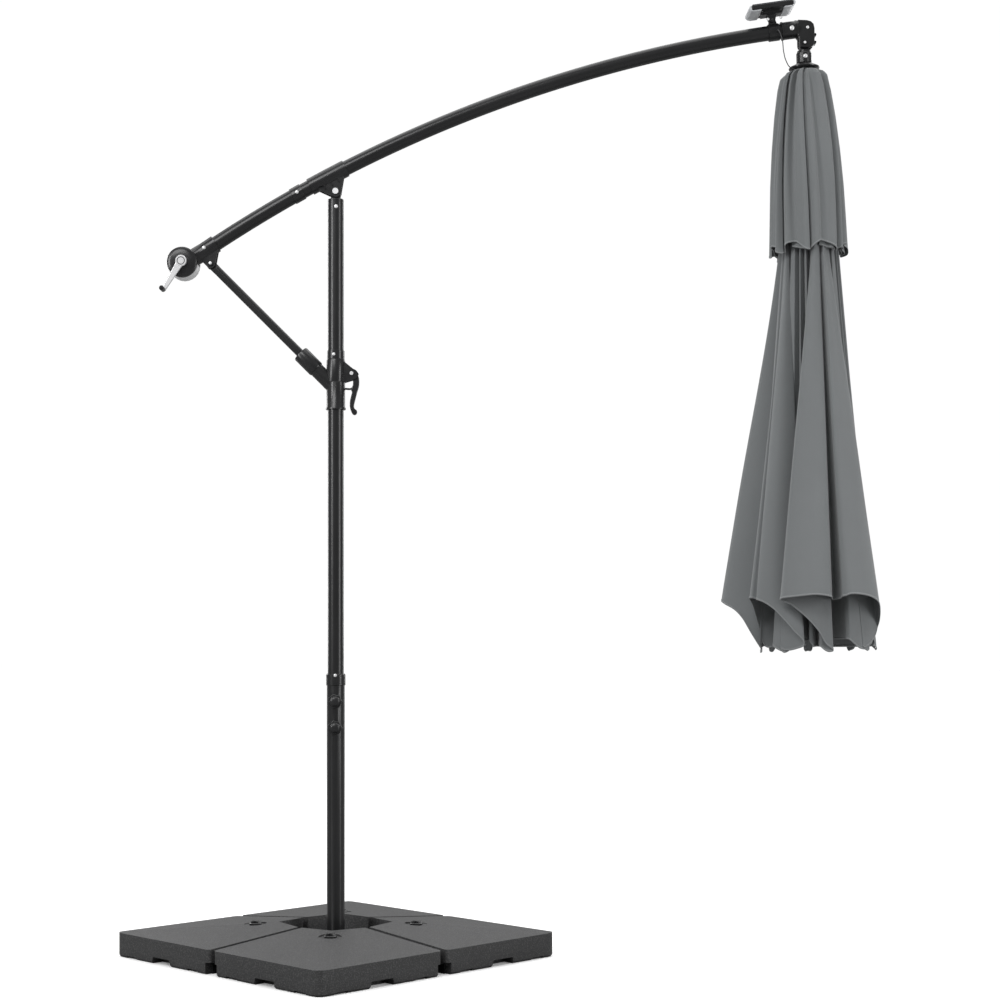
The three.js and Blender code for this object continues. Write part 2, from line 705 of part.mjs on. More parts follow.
// Square steel tube in the real thing, a bar here: it leans out from the hub to its tip.
function addRibs(axis) {
  const drop = RIB_TOP_Z - RIB_TIP_Z;
  const spread = RIB_TIP_R - RIB_TOP_R;
  const length = Math.hypot(drop, spread);
  for (let i = 0; i < RIBS; i += 1) {
    const turn = new THREE.Group();
    turn.position.set(0, 0, RIB_TOP_Z);
    turn.rotation.z = 2 * Math.PI * i / RIBS;
    axis.add(turn);
    const rib = place(`rib_${i + 1}`, box(-6, 6, -5, 5, -length, 0), paint, turn);
    rib.position.x = RIB_TOP_R;
    rib.rotation.y = -Math.atan2(spread, drop);
  }
}

// ---------------------------------------------------------------- folded canopy
function blend(table, z) {
  for (let i = 1; i < table.length; i += 1) {
    const [z0, r0] = table[i - 1];
    const [z1, r1] = table[i];
    if (z >= z1) return r0 + (r1 - r0) * (z - z0) / (z1 - z0);
  }
  return table[table.length - 1][1];
}

// A closed skin of one thickness: rings of lobed outlines down the outside, a hem, and
// the same rings back up the inside. The folds stand out between the ribs.
function foldedSkin({ rings, around, thick, outside, hem, hole }) {
  const positions = [];
  const index = [];
  const ring = (level, inset) => {
    for (let i = 0; i < around; i += 1) {
      const angle = 2 * Math.PI * i / around;
      const fold = Math.abs(Math.sin(RIBS * angle / 2));
      const low = hem(fold);
      const z = level * low + (1 - level) * rings.top;
      const r = outside(Math.max(z, low), fold) - inset;
      positions.push(r * Math.cos(angle), r * Math.sin(angle), z);
    }
  };
  for (let i = 0; i <= rings.count; i += 1) ring(i / rings.count, 0);
  for (let i = rings.count; i >= 0; i -= 1) ring(i / rings.count, thick);
  let rows = 2 * (rings.count + 1);
  if (hole) {
    for (const z of [rings.top - thick, rings.top]) {
      for (let i = 0; i < around; i += 1) {
        const angle = 2 * Math.PI * i / around;
        positions.push(hole * Math.cos(angle), hole * Math.sin(angle), z);
      }
    }
    for (let i = 0; i < around; i += 1) {
      positions[3 * ((rows - 1) * around + i) + 2] = rings.top - thick;
    }
    rows += 2;
  }
  for (let j = 0; j < rows; j += 1) {
    for (let i = 0; i < around; i += 1) {
      const a = j * around + i;
      const b = j * around + (i + 1) % around;
      const c = ((j + 1) % rows) * around + i;
      const d = ((j + 1) % rows) * around + (i + 1) % around;
      index.push(a, c, b, b, c, d);
    }
  }
  const geometry = new THREE.BufferGeometry();
  geometry.setAttribute('position', new THREE.Float32BufferAttribute(positions, 3));
  geometry.setIndex(index);
  return geometry;
}

function ribRadius(z) {
  return RIB_TOP_R + (RIB_TIP_R - RIB_TOP_R) * (RIB_TOP_Z - z) / (RIB_TOP_Z - RIB_TIP_Z);
}

// Radius of the folds' crests by height.
const CREST = [[1985, 76], [1850, 82], [1672, 101], [1514, 123], [1317, 149], [1080, 182], [900, 206]];
const VENT_CREST = [[2327, 38], [2309, 53], [2280, 61], [2207, 74], [2120, 84], [2027, 91], [1850, 97]];

function addCanopy(axis) {
  const thick = 6;
  const valley = (z) => ribRadius(z) + 8 + thick;
  const canopy = foldedSkin({
    rings: { top: 1985, count: 7 },
    around: RIBS * 4,
    thick,
    outside: (z, fold) => valley(z) + Math.max(0, blend(CREST, z) - valley(z)) * fold,
    hem: (fold) => 815 + 115 * fold,
  });
  place('canopy', canopy, fabric, axis);
  const vent = foldedSkin({
    rings: { top: 2327, count: 6 },
    around: RIBS * 3,
    thick: 5,
    outside: (z, fold) => blend(VENT_CREST, z) - 3 * (1 - fold) * (2327 - z) / 477,
    hem: (fold) => 1866 - 20 * fold,
    hole: POLE_R + 1.2,
  });
  place('canopy_vent', vent, fabric, axis);
}

// ---------------------------------------------------------------- solar light
const SOLAR = armPoint(1152);
const SOLAR_PIVOT_Z = 33;        // above the arm's centre line

function solarClamp() {
  const ring = ringZ(22, ARM_R + 0.6, -14, 14).rotateY(Math.PI / 2);
  const ear = [[-11, 20], [11, 20], ...arcPoints(0, SOLAR_PIVOT_Z, 8, 0, 180, 8)];
  const outlet = discY(4, -24, -20.4, 6, -2, 12);
  return build(
    [ring, plateXZ(ear, -6, 6), outlet],
    [discX(ARM_R + 0.6, -20, 20), discY(3.4, -9, 9, 0, SOLAR_PIVOT_Z, 12)],
  );
}

function solarBracket() {
  const plate = box(-27, 27, -16, 16, 45, 50);
  const cheek = [[-13, 46], ...arcPoints(0, SOLAR_PIVOT_Z, 8, 200, 340, 6), [13, 46]];
  return build(
    [plate, plateXZ(cheek, 6.5, 10.5), plateXZ(cheek, -10.5, -6.5)],
    [discY(3.4, -12, 12, 0, SOLAR_PIVOT_Z, 12)],
  );
}

function solarPanel() {
  const outline = [[-44, 50.4], [44, 50.4], [60, 57], [61, 66], [54, 68.5]];
  outline.push([-54, 68.5], [-61, 66], [-60, 57]);
  return build([plateXZ(outline, -42, 42)], [box(-52.5, 52.5, -38.5, 38.5, 66, 70)]);
}

// The wire's route: straight out of the clamp's outlet, down past the elbow, and in under
// the crown disc.
const WIRE_ROUTE = [
  [1158.2, -24.3, 2428.45], [1158.2, -27.6, 2428.45], [1158.6, -30.6, 2427.4],
  [1160.2, -32.6, 2424.4], [1163, -33.4, 2419.5], [1166.2, -33.3, 2411.5],
  [1169.2, -32.8, 2402], [1171, -32.2, 2392], [1171.8, -31.5, 2383], [1172.8, -31, 2374],
  [1174.8, -30, 2364], [1177.5, -28.5, 2354], [1182, -26.5, 2344], [1187, -24, 2336],
  [1193, -21.5, 2331.2], [1198.5, -19, 2330], [1203.5, -17, 2331.2],
];
const WIRE_R = 1.3;
const WIRE_STEPS = 40;

function solarWire() {
  const section = new THREE.Shape();
  section.absarc(0, 0, WIRE_R, 0, 2 * Math.PI);
  const route = new THREE.CatmullRomCurve3(WIRE_ROUTE.map((p) => new THREE.Vector3(...p)));
  const settings = { steps: WIRE_STEPS, extrudePath: route, curveSegments: 4, bevelEnabled: false };
  return new THREE.ExtrudeGeometry(section, settings);
}

function addSolarLight() {
  const holder = group(SOLAR.x, SOLAR.z, SOLAR.slope);
  place('solar_clamp', solarClamp(), plastic, holder);
  place('solar_bracket', solarBracket(), plastic, holder);
  place('solar_panel', solarPanel(), frosted, holder);
  place('solar_cell', box(-52, 52, -38, 38, 66.3, 69.5), cellGlass, holder);
  place('solar_wire', solarWire(), wireSkin);
}

addCrossBars();
addWeights();
addLowerPost();
addUpperPost();
addSlider();
addArm();
addCrank();
addStrut();
const hanging = group(0, -HUB_PIN.z, 0, group(HUB_PIN.x, HUB_PIN.z, HANG));
addCrown(hanging);
addRibs(hanging);
addCanopy(hanging);
addSolarLight();

export default parasol;
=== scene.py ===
# %% [markdown]
# # A folded cantilever parasol
# The parasol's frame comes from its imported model: every tube, hinge and bolt already has
# its size and place. This lesson gives each of them a surface and a finish, and makes the
# soft parts, the folded canopy and its vent cape, from formulas. All lengths are metres.

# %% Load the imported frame
import json
import math

import bmesh
import bpy
import numpy as np
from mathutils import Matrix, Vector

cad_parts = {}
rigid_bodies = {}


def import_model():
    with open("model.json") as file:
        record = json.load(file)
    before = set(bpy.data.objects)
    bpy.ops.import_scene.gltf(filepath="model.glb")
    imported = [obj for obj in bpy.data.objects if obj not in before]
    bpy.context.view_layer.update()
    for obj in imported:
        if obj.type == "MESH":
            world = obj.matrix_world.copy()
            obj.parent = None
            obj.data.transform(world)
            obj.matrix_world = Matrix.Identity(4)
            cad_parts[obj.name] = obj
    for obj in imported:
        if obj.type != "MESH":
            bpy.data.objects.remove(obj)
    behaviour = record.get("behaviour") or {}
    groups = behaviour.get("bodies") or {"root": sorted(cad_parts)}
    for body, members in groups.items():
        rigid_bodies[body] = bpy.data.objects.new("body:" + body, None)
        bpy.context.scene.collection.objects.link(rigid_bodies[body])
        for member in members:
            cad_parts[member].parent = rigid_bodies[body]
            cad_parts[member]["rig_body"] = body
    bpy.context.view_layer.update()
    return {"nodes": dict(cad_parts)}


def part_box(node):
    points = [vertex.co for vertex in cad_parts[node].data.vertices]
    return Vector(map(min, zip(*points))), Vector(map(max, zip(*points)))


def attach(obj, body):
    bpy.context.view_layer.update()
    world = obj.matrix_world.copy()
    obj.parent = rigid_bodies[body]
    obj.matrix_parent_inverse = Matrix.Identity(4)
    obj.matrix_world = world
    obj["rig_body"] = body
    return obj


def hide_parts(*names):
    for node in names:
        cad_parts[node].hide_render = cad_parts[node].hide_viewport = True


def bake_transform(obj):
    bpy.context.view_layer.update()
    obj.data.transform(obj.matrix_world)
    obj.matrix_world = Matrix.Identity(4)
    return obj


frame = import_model()
HANG = 0.0244                       # the canopy's lean about its pin, in radians
PIN = np.array([1.231, 0.0, 2.398])

# %% [markdown]
# ## Camera
# The parasol is seen square to its arm, from a little under knee height to its middle. A
# long lens keeps the uprights parallel, and a small vertical shift keeps the camera level.

# %% Camera
CAMERA_AWAY = 5.0
CAMERA_X = 0.34
CAMERA_Z = 0.855
LENS_MM = 68.4
SHIFT_UP = 0.131
SHIFT_SIDE = 0.035

camera_data = bpy.data.cameras.new("camera")
camera_data.lens = LENS_MM
camera_data.sensor_width = 36.0
camera_data.shift_x = SHIFT_SIDE
camera_data.shift_y = SHIFT_UP
camera = bpy.data.objects.new("camera", camera_data)
bpy.context.scene.collection.objects.link(camera)
camera.location = (CAMERA_X, -CAMERA_AWAY, CAMERA_Z)
camera.rotation_euler = (math.pi / 2, 0, 0)
bpy.context.scene.camera = camera
print("camera", tuple(camera.location), LENS_MM, "mm")

# %% [markdown]
# ## Surfaces from arrays
# A shape is a grid of points, rows by columns. One helper turns any grid into a mesh,
# closing it round its columns where the shape is a tube. Another welds a copy of a CAD
# node and rounds its edges, because real mouldings and bent steel have no sharp corner.


# %% Grid helper
def grid_mesh(name, points, closed=False, caps=False, uv=None):
    """A mesh from an array of points, shape (rows, columns, 3).

    Point (i, j) joins (i, j + 1) and (i + 1, j). closed joins the last column to the
    first, and caps puts a face over the first and the last row.
    """
    rows, columns = points.shape[:2]
    i, j = np.meshgrid(np.arange(rows - 1), np.arange(columns if closed else columns - 1), indexing="ij")
    right = (j + 1) % columns
    row, below = i * columns, (i + 1) * columns
    faces = np.stack([row + j, row + right, below + right, below + j], -1)
    faces = faces.reshape(-1, 4).tolist()
    if caps:
        faces.append(list(range(columns))[::-1])
        faces.append(list(range((rows - 1) * columns, rows * columns)))
    mesh = bpy.data.meshes.new(name)
    mesh.from_pydata(points.reshape(-1, 3).tolist(), [], faces)
    if uv is not None:
        layer = mesh.uv_layers.new(name="UVMap")
        corner = np.zeros(len(mesh.loops), dtype=np.int32)
        mesh.loops.foreach_get("vertex_index", corner)
        layer.data.foreach_set("uv", uv.reshape(-1, 2)[corner].astype(np.float32).ravel())
    mesh.shade_smooth()
    piece = bpy.data.objects.new(name, mesh)
    bpy.context.scene.collection.objects.link(piece)
    return piece


def face_outwards(piece):
    """Turns the faces of a closed piece so that they all point out."""
    work = bmesh.new()
    work.from_mesh(piece.data)
    bmesh.ops.remove_doubles(work, verts=work.verts, dist=1e-6)
    bmesh.ops.recalc_face_normals(work, faces=work.faces)
    work.to_mesh(piece.data)
    work.free()
    return piece


def crisp(piece, degrees=35):
    """Smooth shading, with an edge kept sharp where faces meet at more than degrees."""
    piece.data.shade_smooth()
    piece.data.set_sharp_from_angle(angle=math.radians(degrees))
    return piece


# %% Turned and swept shapes
def frames_along(path):
    """Unit tangent, side and up vectors at each point of a path, turning as little as possible."""
    tangent = np.gradient(path, axis=0)
    tangent /= np.linalg.norm(tangent, axis=1, keepdims=True)
    side = np.zeros_like(tangent)
    start = np.cross(tangent[0], [0.0, 1.0, 0.0] if abs(tangent[0][1]) < 0.9 else [1.0, 0.0, 0.0])
    side[0] = start / np.linalg.norm(start)
    for k in range(1, len(path)):
        turned = side[k - 1] - tangent[k] * (side[k - 1] @ tangent[k])
        side[k] = turned / np.linalg.norm(turned)
    return tangent, side, np.cross(tangent, side)


def swept(name, path, section):
    """A closed outline carried along a path: point = path + a * side + b * up."""
    _, side, up = frames_along(path)
    points = path[:, None] + section[None, :, :1] * side[:, None] + section[None, :, 1:] * up[:, None]
    piece = grid_mesh(name, points, closed=True, caps=True)
    return face_outwards(piece)


def turned(name, profile, centre, axis, around=64):
    """A profile of (radius, height) pairs turned about an axis through centre.

    Point = centre + height * axis + radius * (cos a * u + sin a * v).
    """
    profile = np.array(profile, float)
    axis = np.array(axis, float) / np.linalg.norm(axis)
    u = np.cross(axis, [0.3, 0.9, 0.1])
    u /= np.linalg.norm(u)
    v = np.cross(axis, u)
    angle = np.linspace(0, 2 * np.pi, around, endpoint=False)
    ring = np.cos(angle)[:, None] * u + np.sin(angle)[:, None] * v
    points = np.array(centre) + profile[:, 1, None, None] * axis + profile[:, 0, None, None] * ring
    return crisp(face_outwards(grid_mesh(name, points, closed=True)), 30)


def circle(radius, around=48):
    """Points of a circle, radius * (cos a, sin a)."""
    angle = np.linspace(0, 2 * np.pi, around, endpoint=False)
    return radius * np.stack([np.cos(angle), np.sin(angle)], -1)


def settle(piece, material, body, slot, *nodes):
    """Gives a finished piece its material and body, and hides the CAD nodes it stands for. slot is not used.
    """
    piece.data.materials.clear()
    piece.data.materials.append(material)
    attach(piece, body)
    if nodes:
        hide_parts(*nodes)
    return piece


# %% [markdown]
# ## Shader maths as expressions
# A socket is wrapped in a small class, so that `grain * 0.2 + 0.3` adds its Math nodes by
# itself. Everything else comes from one method that makes a node and fills its sockets.


# %% Shader helper
class Value:
    """A number socket. Arithmetic on it adds Math nodes."""

    def __init__(self, bench, socket):
        self.bench = bench
        self.socket = socket

    def maths(self, operation, *values):
        return self.bench.node("ShaderNodeMath", {"operation": operation}, dict(enumerate(values)))

    def __add__(self, other):
        return self.maths("ADD", self, other)

    def __sub__(self, other):
        return self.maths("SUBTRACT", self, other)

    def __rsub__(self, other):
        return self.maths("SUBTRACT", other, self)

    def __mul__(self, other):
        return self.maths("MULTIPLY", self, other)

    __radd__ = __add__
    __rmul__ = __mul__

    def wave(self, turns):
        """sin(2 pi * turns * value)."""
        return (self * (2 * math.pi * turns)).maths("SINE", self * (2 * math.pi * turns))

    def above(self, edge):
        return self.maths("GREATER_THAN", self, edge)


class Bench:
    """A material under construction: its node tree and its Principled shader."""

    def __init__(self, name, color, roughness, metallic=0.0, **fixed):
        self.material = bpy.data.materials.new(name)
        self.material.use_nodes = True
        self.tree = self.material.node_tree
        self.shader = self.tree.nodes["Principled BSDF"]
        self.feed(self.shader, {"Base Color": (*color, 1), "Roughness": roughness, "Metallic": metallic})
        names = {key: key.replace("_", " ").title().replace("Ior", "IOR") for key in fixed}
        self.feed(self.shader, {names[key]: value for key, value in fixed.items()})

    def feed(self, node, inputs):
        for key, value in inputs.items():
            if isinstance(value, Value):
                self.tree.links.new(value.socket, node.inputs[key])
            else:
                node.inputs[key].default_value = value

    def node(self, kind, settings=None, inputs=None, output=0):
        made = self.tree.nodes.new(kind)
        for key, value in (settings or {}).items():
            setattr(made, key, value)
        self.feed(made, inputs or {})
        return Value(self, made.outputs[output])

    def place(self, which="Object"):
        return self.node("ShaderNodeTexCoord", output=which)

    def noise(self, scale, detail=3.0, where=None):
        where = where or self.place()
        inputs = {"Vector": where, "Scale": scale, "Detail": detail}
        return self.node("ShaderNodeTexNoise", {}, inputs, "Fac")

    def mix(self, factor, first, second):
        made = self.tree.nodes.new("ShaderNodeMix")
        made.data_type = "RGBA"
        self.feed(made, {0: factor})
        for index, colour in ((6, first), (7, second)):
            self.feed(made, {index: colour if isinstance(colour, Value) else (*colour, 1)})
        return Value(self, made.outputs[2])

    def bump(self, height, distance, strength=1.0):
        inputs = {"Height": height, "Distance": distance, "Strength": strength}
        return self.node("ShaderNodeBump", {}, inputs)

    def set(self, **inputs):
        self.feed(self.shader, {key.replace("_", " ").title(): v for key, v in inputs.items()})
        return self.material


# %% [markdown]
# ## Finishes
# Powder coat has a fine orange peel. The nylon mouldings are satin with flow marks. The
# weights are blow-moulded with a coarse grain, lighter where dust sits on the grain.


# %% Hard finishes
def powder_coat():
    bench = Bench("powder_coat", (0.011, 0.0112, 0.012), 0.3)
    peel = bench.noise(900.0, 2.0)
    haze = bench.noise(7.0, 4.0)
    colour = bench.mix(haze, (0.007, 0.0072, 0.0078), (0.015, 0.0153, 0.0162))
    normal = bench.bump(peel, 0.00005, 0.08)
    return bench.set(base_color=colour, roughness=haze * 0.12 + 0.24, normal=normal)


def moulded_nylon():
    bench = Bench("moulded_nylon", (0.012, 0.0122, 0.013), 0.36)
    grain = bench.noise(1400.0, 2.0)
    flow = bench.noise(28.0, 5.0)
    colour = bench.mix(flow, (0.008, 0.0082, 0.0088), (0.018, 0.0182, 0.0192))
    return bench.set(base_color=colour, roughness=flow * 0.16 + 0.2, normal=bench.bump(grain, 0.00005, 0.1))


SEAM_Z = 0.031                      # height of the moulding seam round each weight
SEAM_SPAN = 0.0000014               # square of the seam's half width


def weight_plastic():
    bench = Bench("weight_plastic", (0.035, 0.0352, 0.036), 0.5)
    grain = bench.noise(300.0, 4.0)
    patch = bench.noise(5.0, 5.0)
    height = bench.node("ShaderNodeSeparateXYZ", {}, {"Vector": bench.place()}, "Z")
    seam = ((height - SEAM_Z) * (height - SEAM_Z) * -1.0).above(-SEAM_SPAN)
    colour = bench.mix(patch, (0.024, 0.0242, 0.025), (0.042, 0.0422, 0.043))
    colour = bench.mix(grain.above(0.56) * 0.75, colour, (0.085, 0.0852, 0.086))
    colour = bench.mix(seam * 0.6, colour, (0.05, 0.0502, 0.051))
    normal = bench.bump(grain, 0.0010, 0.9)
    return bench.set(base_color=colour, roughness=patch * 0.16 + 0.40, normal=normal)


def zinc_plate():
    bench = Bench("zinc_plate", (0.85, 0.86, 0.87), 0.35, 0.45)
    spangle = bench.noise(160.0, 3.0)
    colour = bench.mix(spangle, (0.78, 0.79, 0.80), (0.93, 0.93, 0.93))
    return bench.set(base_color=colour, roughness=spangle * 0.25 + 0.25)


def polished_chrome():
    bench = Bench("polished_chrome", (0.9, 0.9, 0.91), 0.2, 0.4, coat_weight=0.6, coat_roughness=0.05)
    smear = bench.noise(30.0, 4.0)
    colour = bench.mix(smear, (0.84, 0.84, 0.86), (0.95, 0.95, 0.95))
    return bench.set(base_color=colour, roughness=smear * 0.14 + 0.14)


def frosted_shell():
    bench = Bench("frosted_shell", (0.80, 0.82, 0.84), 0.3, transmission_weight=0.35)
    frost = bench.noise(800.0, 3.0)
    return bench.set(roughness=frost * 0.25 + 0.2, normal=bench.bump(frost, 0.0002, 0.4))


def wire_rubber():
    bench = Bench("wire_rubber", (0.045, 0.046, 0.048), 0.55)
    scuff = bench.noise(300.0, 3.0)
    colour = bench.mix(scuff, (0.035, 0.036, 0.038), (0.07, 0.071, 0.073))
    return bench.set(base_color=colour, roughness=scuff * 0.2 + 0.45)


COAT = powder_coat()
NYLON = moulded_nylon()
GRAINED = weight_plastic()
ZINC = zinc_plate()
CHROME = polished_chrome()
FROSTED = frosted_shell()
RUBBER = wire_rubber()
print("finishes", len(bpy.data.materials))

# %% [markdown]
# ## The wire
# A thin wire feeds the lights under the canopy. It leaves the clamp on the arm, hangs
# down past the elbow, and goes in under the crown disc. Its route is fixed with the model.

# %% Solar wire
WIRE_ROUTE = np.array([
    [1.1582, -0.0243, 2.42845], [1.1582, -0.0276, 2.42845], [1.1586, -0.0306, 2.4274],
    [1.1602, -0.0326, 2.4244], [1.163, -0.0334, 2.4195], [1.1662, -0.0333, 2.4115],
    [1.1692, -0.0328, 2.402], [1.171, -0.0322, 2.392], [1.1718, -0.0315, 2.383],
    [1.1728, -0.031, 2.374], [1.1748, -0.030, 2.364], [1.1775, -0.0285, 2.354],
    [1.182, -0.0265, 2.344], [1.187, -0.024, 2.336], [1.193, -0.0215, 2.3312],
    [1.1985, -0.019, 2.330], [1.2035, -0.017, 2.3312],
])
WIRE_R = 0.0013


def smooth_path(points, per_span=6):
    """A Catmull-Rom curve through the points: each span is a cubic of its four neighbours."""
    padded = np.vstack([2 * points[0] - points[1], points, 2 * points[-1] - points[-2]])
    t = np.linspace(0, 1, per_span, endpoint=False)[None, :, None]
    a, b, c, d = (padded[k:len(points) - 1 + k][:, None] for k in range(4))
    square, cube = 2 * a - 5 * b + 4 * c - d, 3 * b - a - 3 * c + d
    cubic = 0.5 * (2 * b + (c - a) * t + square * t**2 + cube * t**3)
    return np.vstack([cubic.reshape(-1, points.shape[1]), points[-1:]])


wire_path = smooth_path(WIRE_ROUTE)
wire = swept("wire", wire_path, circle(WIRE_R, 12))
wire.data.materials.append(RUBBER)
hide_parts("solar_wire")
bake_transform(wire)

# %% [markdown]
# ## Tubes
# The posts, the arm and the strut are plain drawn tubes. Here the upper post and the arm are
# drawn as a circle carried along a line or an arc, and their cut ends show the wall, so each
# one has an inside as well.


# %% Tubes
def pipe(name, path, outer, inner):
    """A tube with a wall: the outer surface one way, the end rims, and the bore back."""
    _, side, up = frames_along(path)
    shells = []
    for radius, line in ((outer, slice(None)), (inner, slice(None, None, -1))):
        ring = circle(radius, 56)
        sweep = path[:, None] + ring[None, :, :1] * side[:, None] + ring[None, :, 1:] * up[:, None]
        shells.append(sweep[line])
    points = np.concatenate([shells[0], shells[1], shells[0][:1]])
    return crisp(face_outwards(grid_mesh(name, points, closed=True)), 40)


def upright(z0, z1):
    return np.array([[0, 0, z0], [0, 0, z1]], float)


ARC_R = 3.6
ARC_X, ARC_Z = 1.6628, -1.134


def arm_points(x):
    """Points of the arm's centre line: a circle of radius ARC_R about (ARC_X, ARC_Z)."""
    x = np.asarray(x, float)
    return np.stack([x, np.zeros_like(x), ARC_Z + np.sqrt(ARC_R**2 - (x - ARC_X) ** 2)], -1)


post_low, post_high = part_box("upper_post")
upper = pipe("upper_post_tube", upright(post_low.z, post_high.z), 0.021, 0.0195)
settle(upper, COAT, "mast", "frame_paint", "upper_post")
arm_low, arm_high = -0.352, 1.221
arm = pipe("arm_tube_bent", arm_points(np.linspace(arm_low, arm_high, 90)), 0.019, 0.0174)
settle(arm, COAT, "arm", "frame_paint", "arm_tube")
print("tubes", upper.name, arm.name)

# %% [markdown]
# ## Mouldings and bolts
# Brackets, knobs, weights and bolts keep the shape of their CAD nodes. A welded copy of
# each gets rounded edges with a Bevel, and smooth shading turns its facets into curves.


# %% Rounded copies of CAD nodes
def rounded(node, material, slot, width=0.0005, degrees=38, segments=2):
    """A welded copy of a CAD node, with edges sharper than degrees rounded by width."""
    source = frame["nodes"][node]
    work = bmesh.new()
    work.from_mesh(source.data)
    bmesh.ops.remove_doubles(work, verts=work.verts, dist=2e-6)
    bmesh.ops.dissolve_limit(work, angle_limit=math.radians(0.5), verts=work.verts, edges=work.edges)
    mesh = bpy.data.meshes.new(node + "_rounded")
    work.to_mesh(mesh)
    work.free()
    piece = bpy.data.objects.new(node + "_rounded", mesh)
    bpy.context.scene.collection.objects.link(piece)
    crisp(piece, degrees)
    if width:
        bevel = piece.modifiers.new("rounded edges", "BEVEL")
        bevel.width = width
        bevel.segments = segments
        bevel.limit_method = "ANGLE"
        bevel.angle_limit = math.radians(degrees)
        bevel.harden_normals = True
    return settle(piece, material, source["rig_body"], slot, node)


MOULDINGS = {
    "post_collar": 0.0005, "knob_upper": 0.0006, "knob_lower": 0.0006, "slider_stop": 0.0006,
    "post_head": 0.0006, "slider_body": 0.0006, "strut_socket": 0.0006, 
    "arm_sleeve": 0.0006, "arm_collar": 0.0006, "crank_housing": 0.0008, 
     "elbow_lower": 0.0006,  "rib_hub": 0.0005,
    "runner": 0.0005, "spool": 0.0004, "solar_clamp": 0.0005,
    "solar_bracket": 0.0006, "fill_cap_1": 0.0005, "fill_cap_2": 0.0005, "fill_cap_3": 0.0005,
    "fill_cap_4": 0.0005,
}
for node, width in MOULDINGS.items():
    rounded(node, NYLON, "moulding", width)
for node in ("lever_bolt", "sleeve_bolt", "reel_back", "canopy_pole"):
    rounded(node, ZINC, "zinc", 0.0003)
for node in ("strut_bolt", "elbow_pin"):
    rounded(node, NYLON, "zinc", 0.0003)
for node in ("cross_bar_a", "cross_bar_b", "lower_post", "strut_tube", *(f"rib_{k}" for k in range(1, 9))):
    rounded(node, COAT, "frame_paint", 0.0004)
for node in (f"base_weight_{k}" for k in range(1, 5)):
    rounded(node, GRAINED, "weight_plastic", 0.0025, segments=3)

# %% [markdown]
# ## Pieces drawn anew
# Some pieces need more shape than a rounded copy gives: the pull lever with its curled
# foot, the crank, the domed reel cover, the elbow, the crown disc and the solar light's
# tray. Flat ones are an outline carried across the parasol, round ones a turned profile.


# %% Slabs and domes
def slab(name, outline, y0, y1, round_by=0.002):
    """An outline of (x, z) points carried from y0 to y1, with its edges rounded."""
    outline = np.array(outline, float)
    rows = [np.stack([outline[:, 0], np.full(len(outline), y), outline[:, 1]], -1) for y in (y0, y1)]
    piece = face_outwards(grid_mesh(name, np.stack(rows), closed=True, caps=True))
    crisp(piece, 30)
    bevel = piece.modifiers.new("rounded edges", "BEVEL")
    bevel.width = round_by
    bevel.segments = 3
    bevel.limit_method = "ANGLE"
    bevel.angle_limit = math.radians(40)
    bevel.harden_normals = True
    return piece


def smooth_loop(points, per_span=5):
    """A smooth closed outline through the points."""
    points = np.array(points, float)
    wrapped = np.vstack([points[-2:], points, points[:3]])
    path = smooth_path(wrapped, per_span)
    return path[2 * per_span:(2 + len(points)) * per_span]


def dome(name, centre, axis, radius, height, around=28):
    """A bolt head: radius * cos a out and height * sin a up, on a short rim."""
    a = np.linspace(0, np.pi / 2, 7)
    profile = np.column_stack([radius * np.cos(a), 0.0006 + height * np.sin(a)])
    profile = np.vstack([[0, -0.0008], [radius, -0.0008], profile])
    profile[-1, 0] = 0
    return turned(name, profile, centre, axis, around)


# %% Rivets and bolt heads
HEADS = (                           # name, body, x, y, z, radius
    ("collar_rivet", "base", 0.0, -0.0253, 0.7385, 0.0042),
    ("post_rivet", "mast", 0.002, -0.0208, 1.968, 0.0050),
    ("post_rivet_back", "mast", 0.002, 0.0208, 1.968, 0.0050),
    ("stop_rivet", "mast", -0.004, -0.0228, 1.5805, 0.0042),
    ("arm_collar_bolt", "arm", -0.1005, -0.0235, 2.0050, 0.0045),
    ("housing_bolt", "arm", -0.3440, -0.0240, 1.8592, 0.0045),
    ("housing_bolt_back", "arm", -0.3440, 0.0240, 1.8592, 0.0045),
    ("strut_rivet", "arm", -0.328, -0.0186, 1.820, 0.0042),
    ("strut_rivet_back", "arm", -0.328, 0.0186, 1.820, 0.0042),
    ("elbow_bolt", "arm", 1.1966, -0.0224, 2.435, 0.0062),
    ("elbow_bolt_back", "arm", 1.1966, 0.0224, 2.435, 0.0062),
    ("elbow_screw", "arm", 1.2385, -0.0174, 2.4385, 0.0040),
    ("elbow_screw_back", "arm", 1.2385, 0.0174, 2.4385, 0.0040),
    ("pin_rivet", "arm", 1.231, -0.0206, 2.398, 0.0034),
    ("socket_bolt", "canopy", 1.2325, -0.0178, 2.363, 0.0058),
    ("socket_bolt_back", "canopy", 1.2325, 0.0178, 2.363, 0.0058),
    ("bracket_bolt_left", "solar", 1.1345, -0.0160, 2.4600, 0.0040),
    ("bracket_bolt_right", "solar", 1.1690, -0.0160, 2.4650, 0.0040),
)
for name, body, x, y, z, radius in HEADS:
    head = dome(name, (x, y, z), (0, math.copysign(1, y), 0), radius, 0.45 * radius)
    settle(head, ZINC, body, "zinc")
for k in range(4):
    a = math.radians(45 + 90 * k)
    foot = (0.049 * math.cos(a), 0.049 * math.sin(a), 0.0350)
    settle(dome(f"foot_bolt_{k + 1}", foot, (0, 0, 1), 0.0062, 0.004), ZINC, "base", "zinc")
print("bolt heads", len(HEADS) + 4)

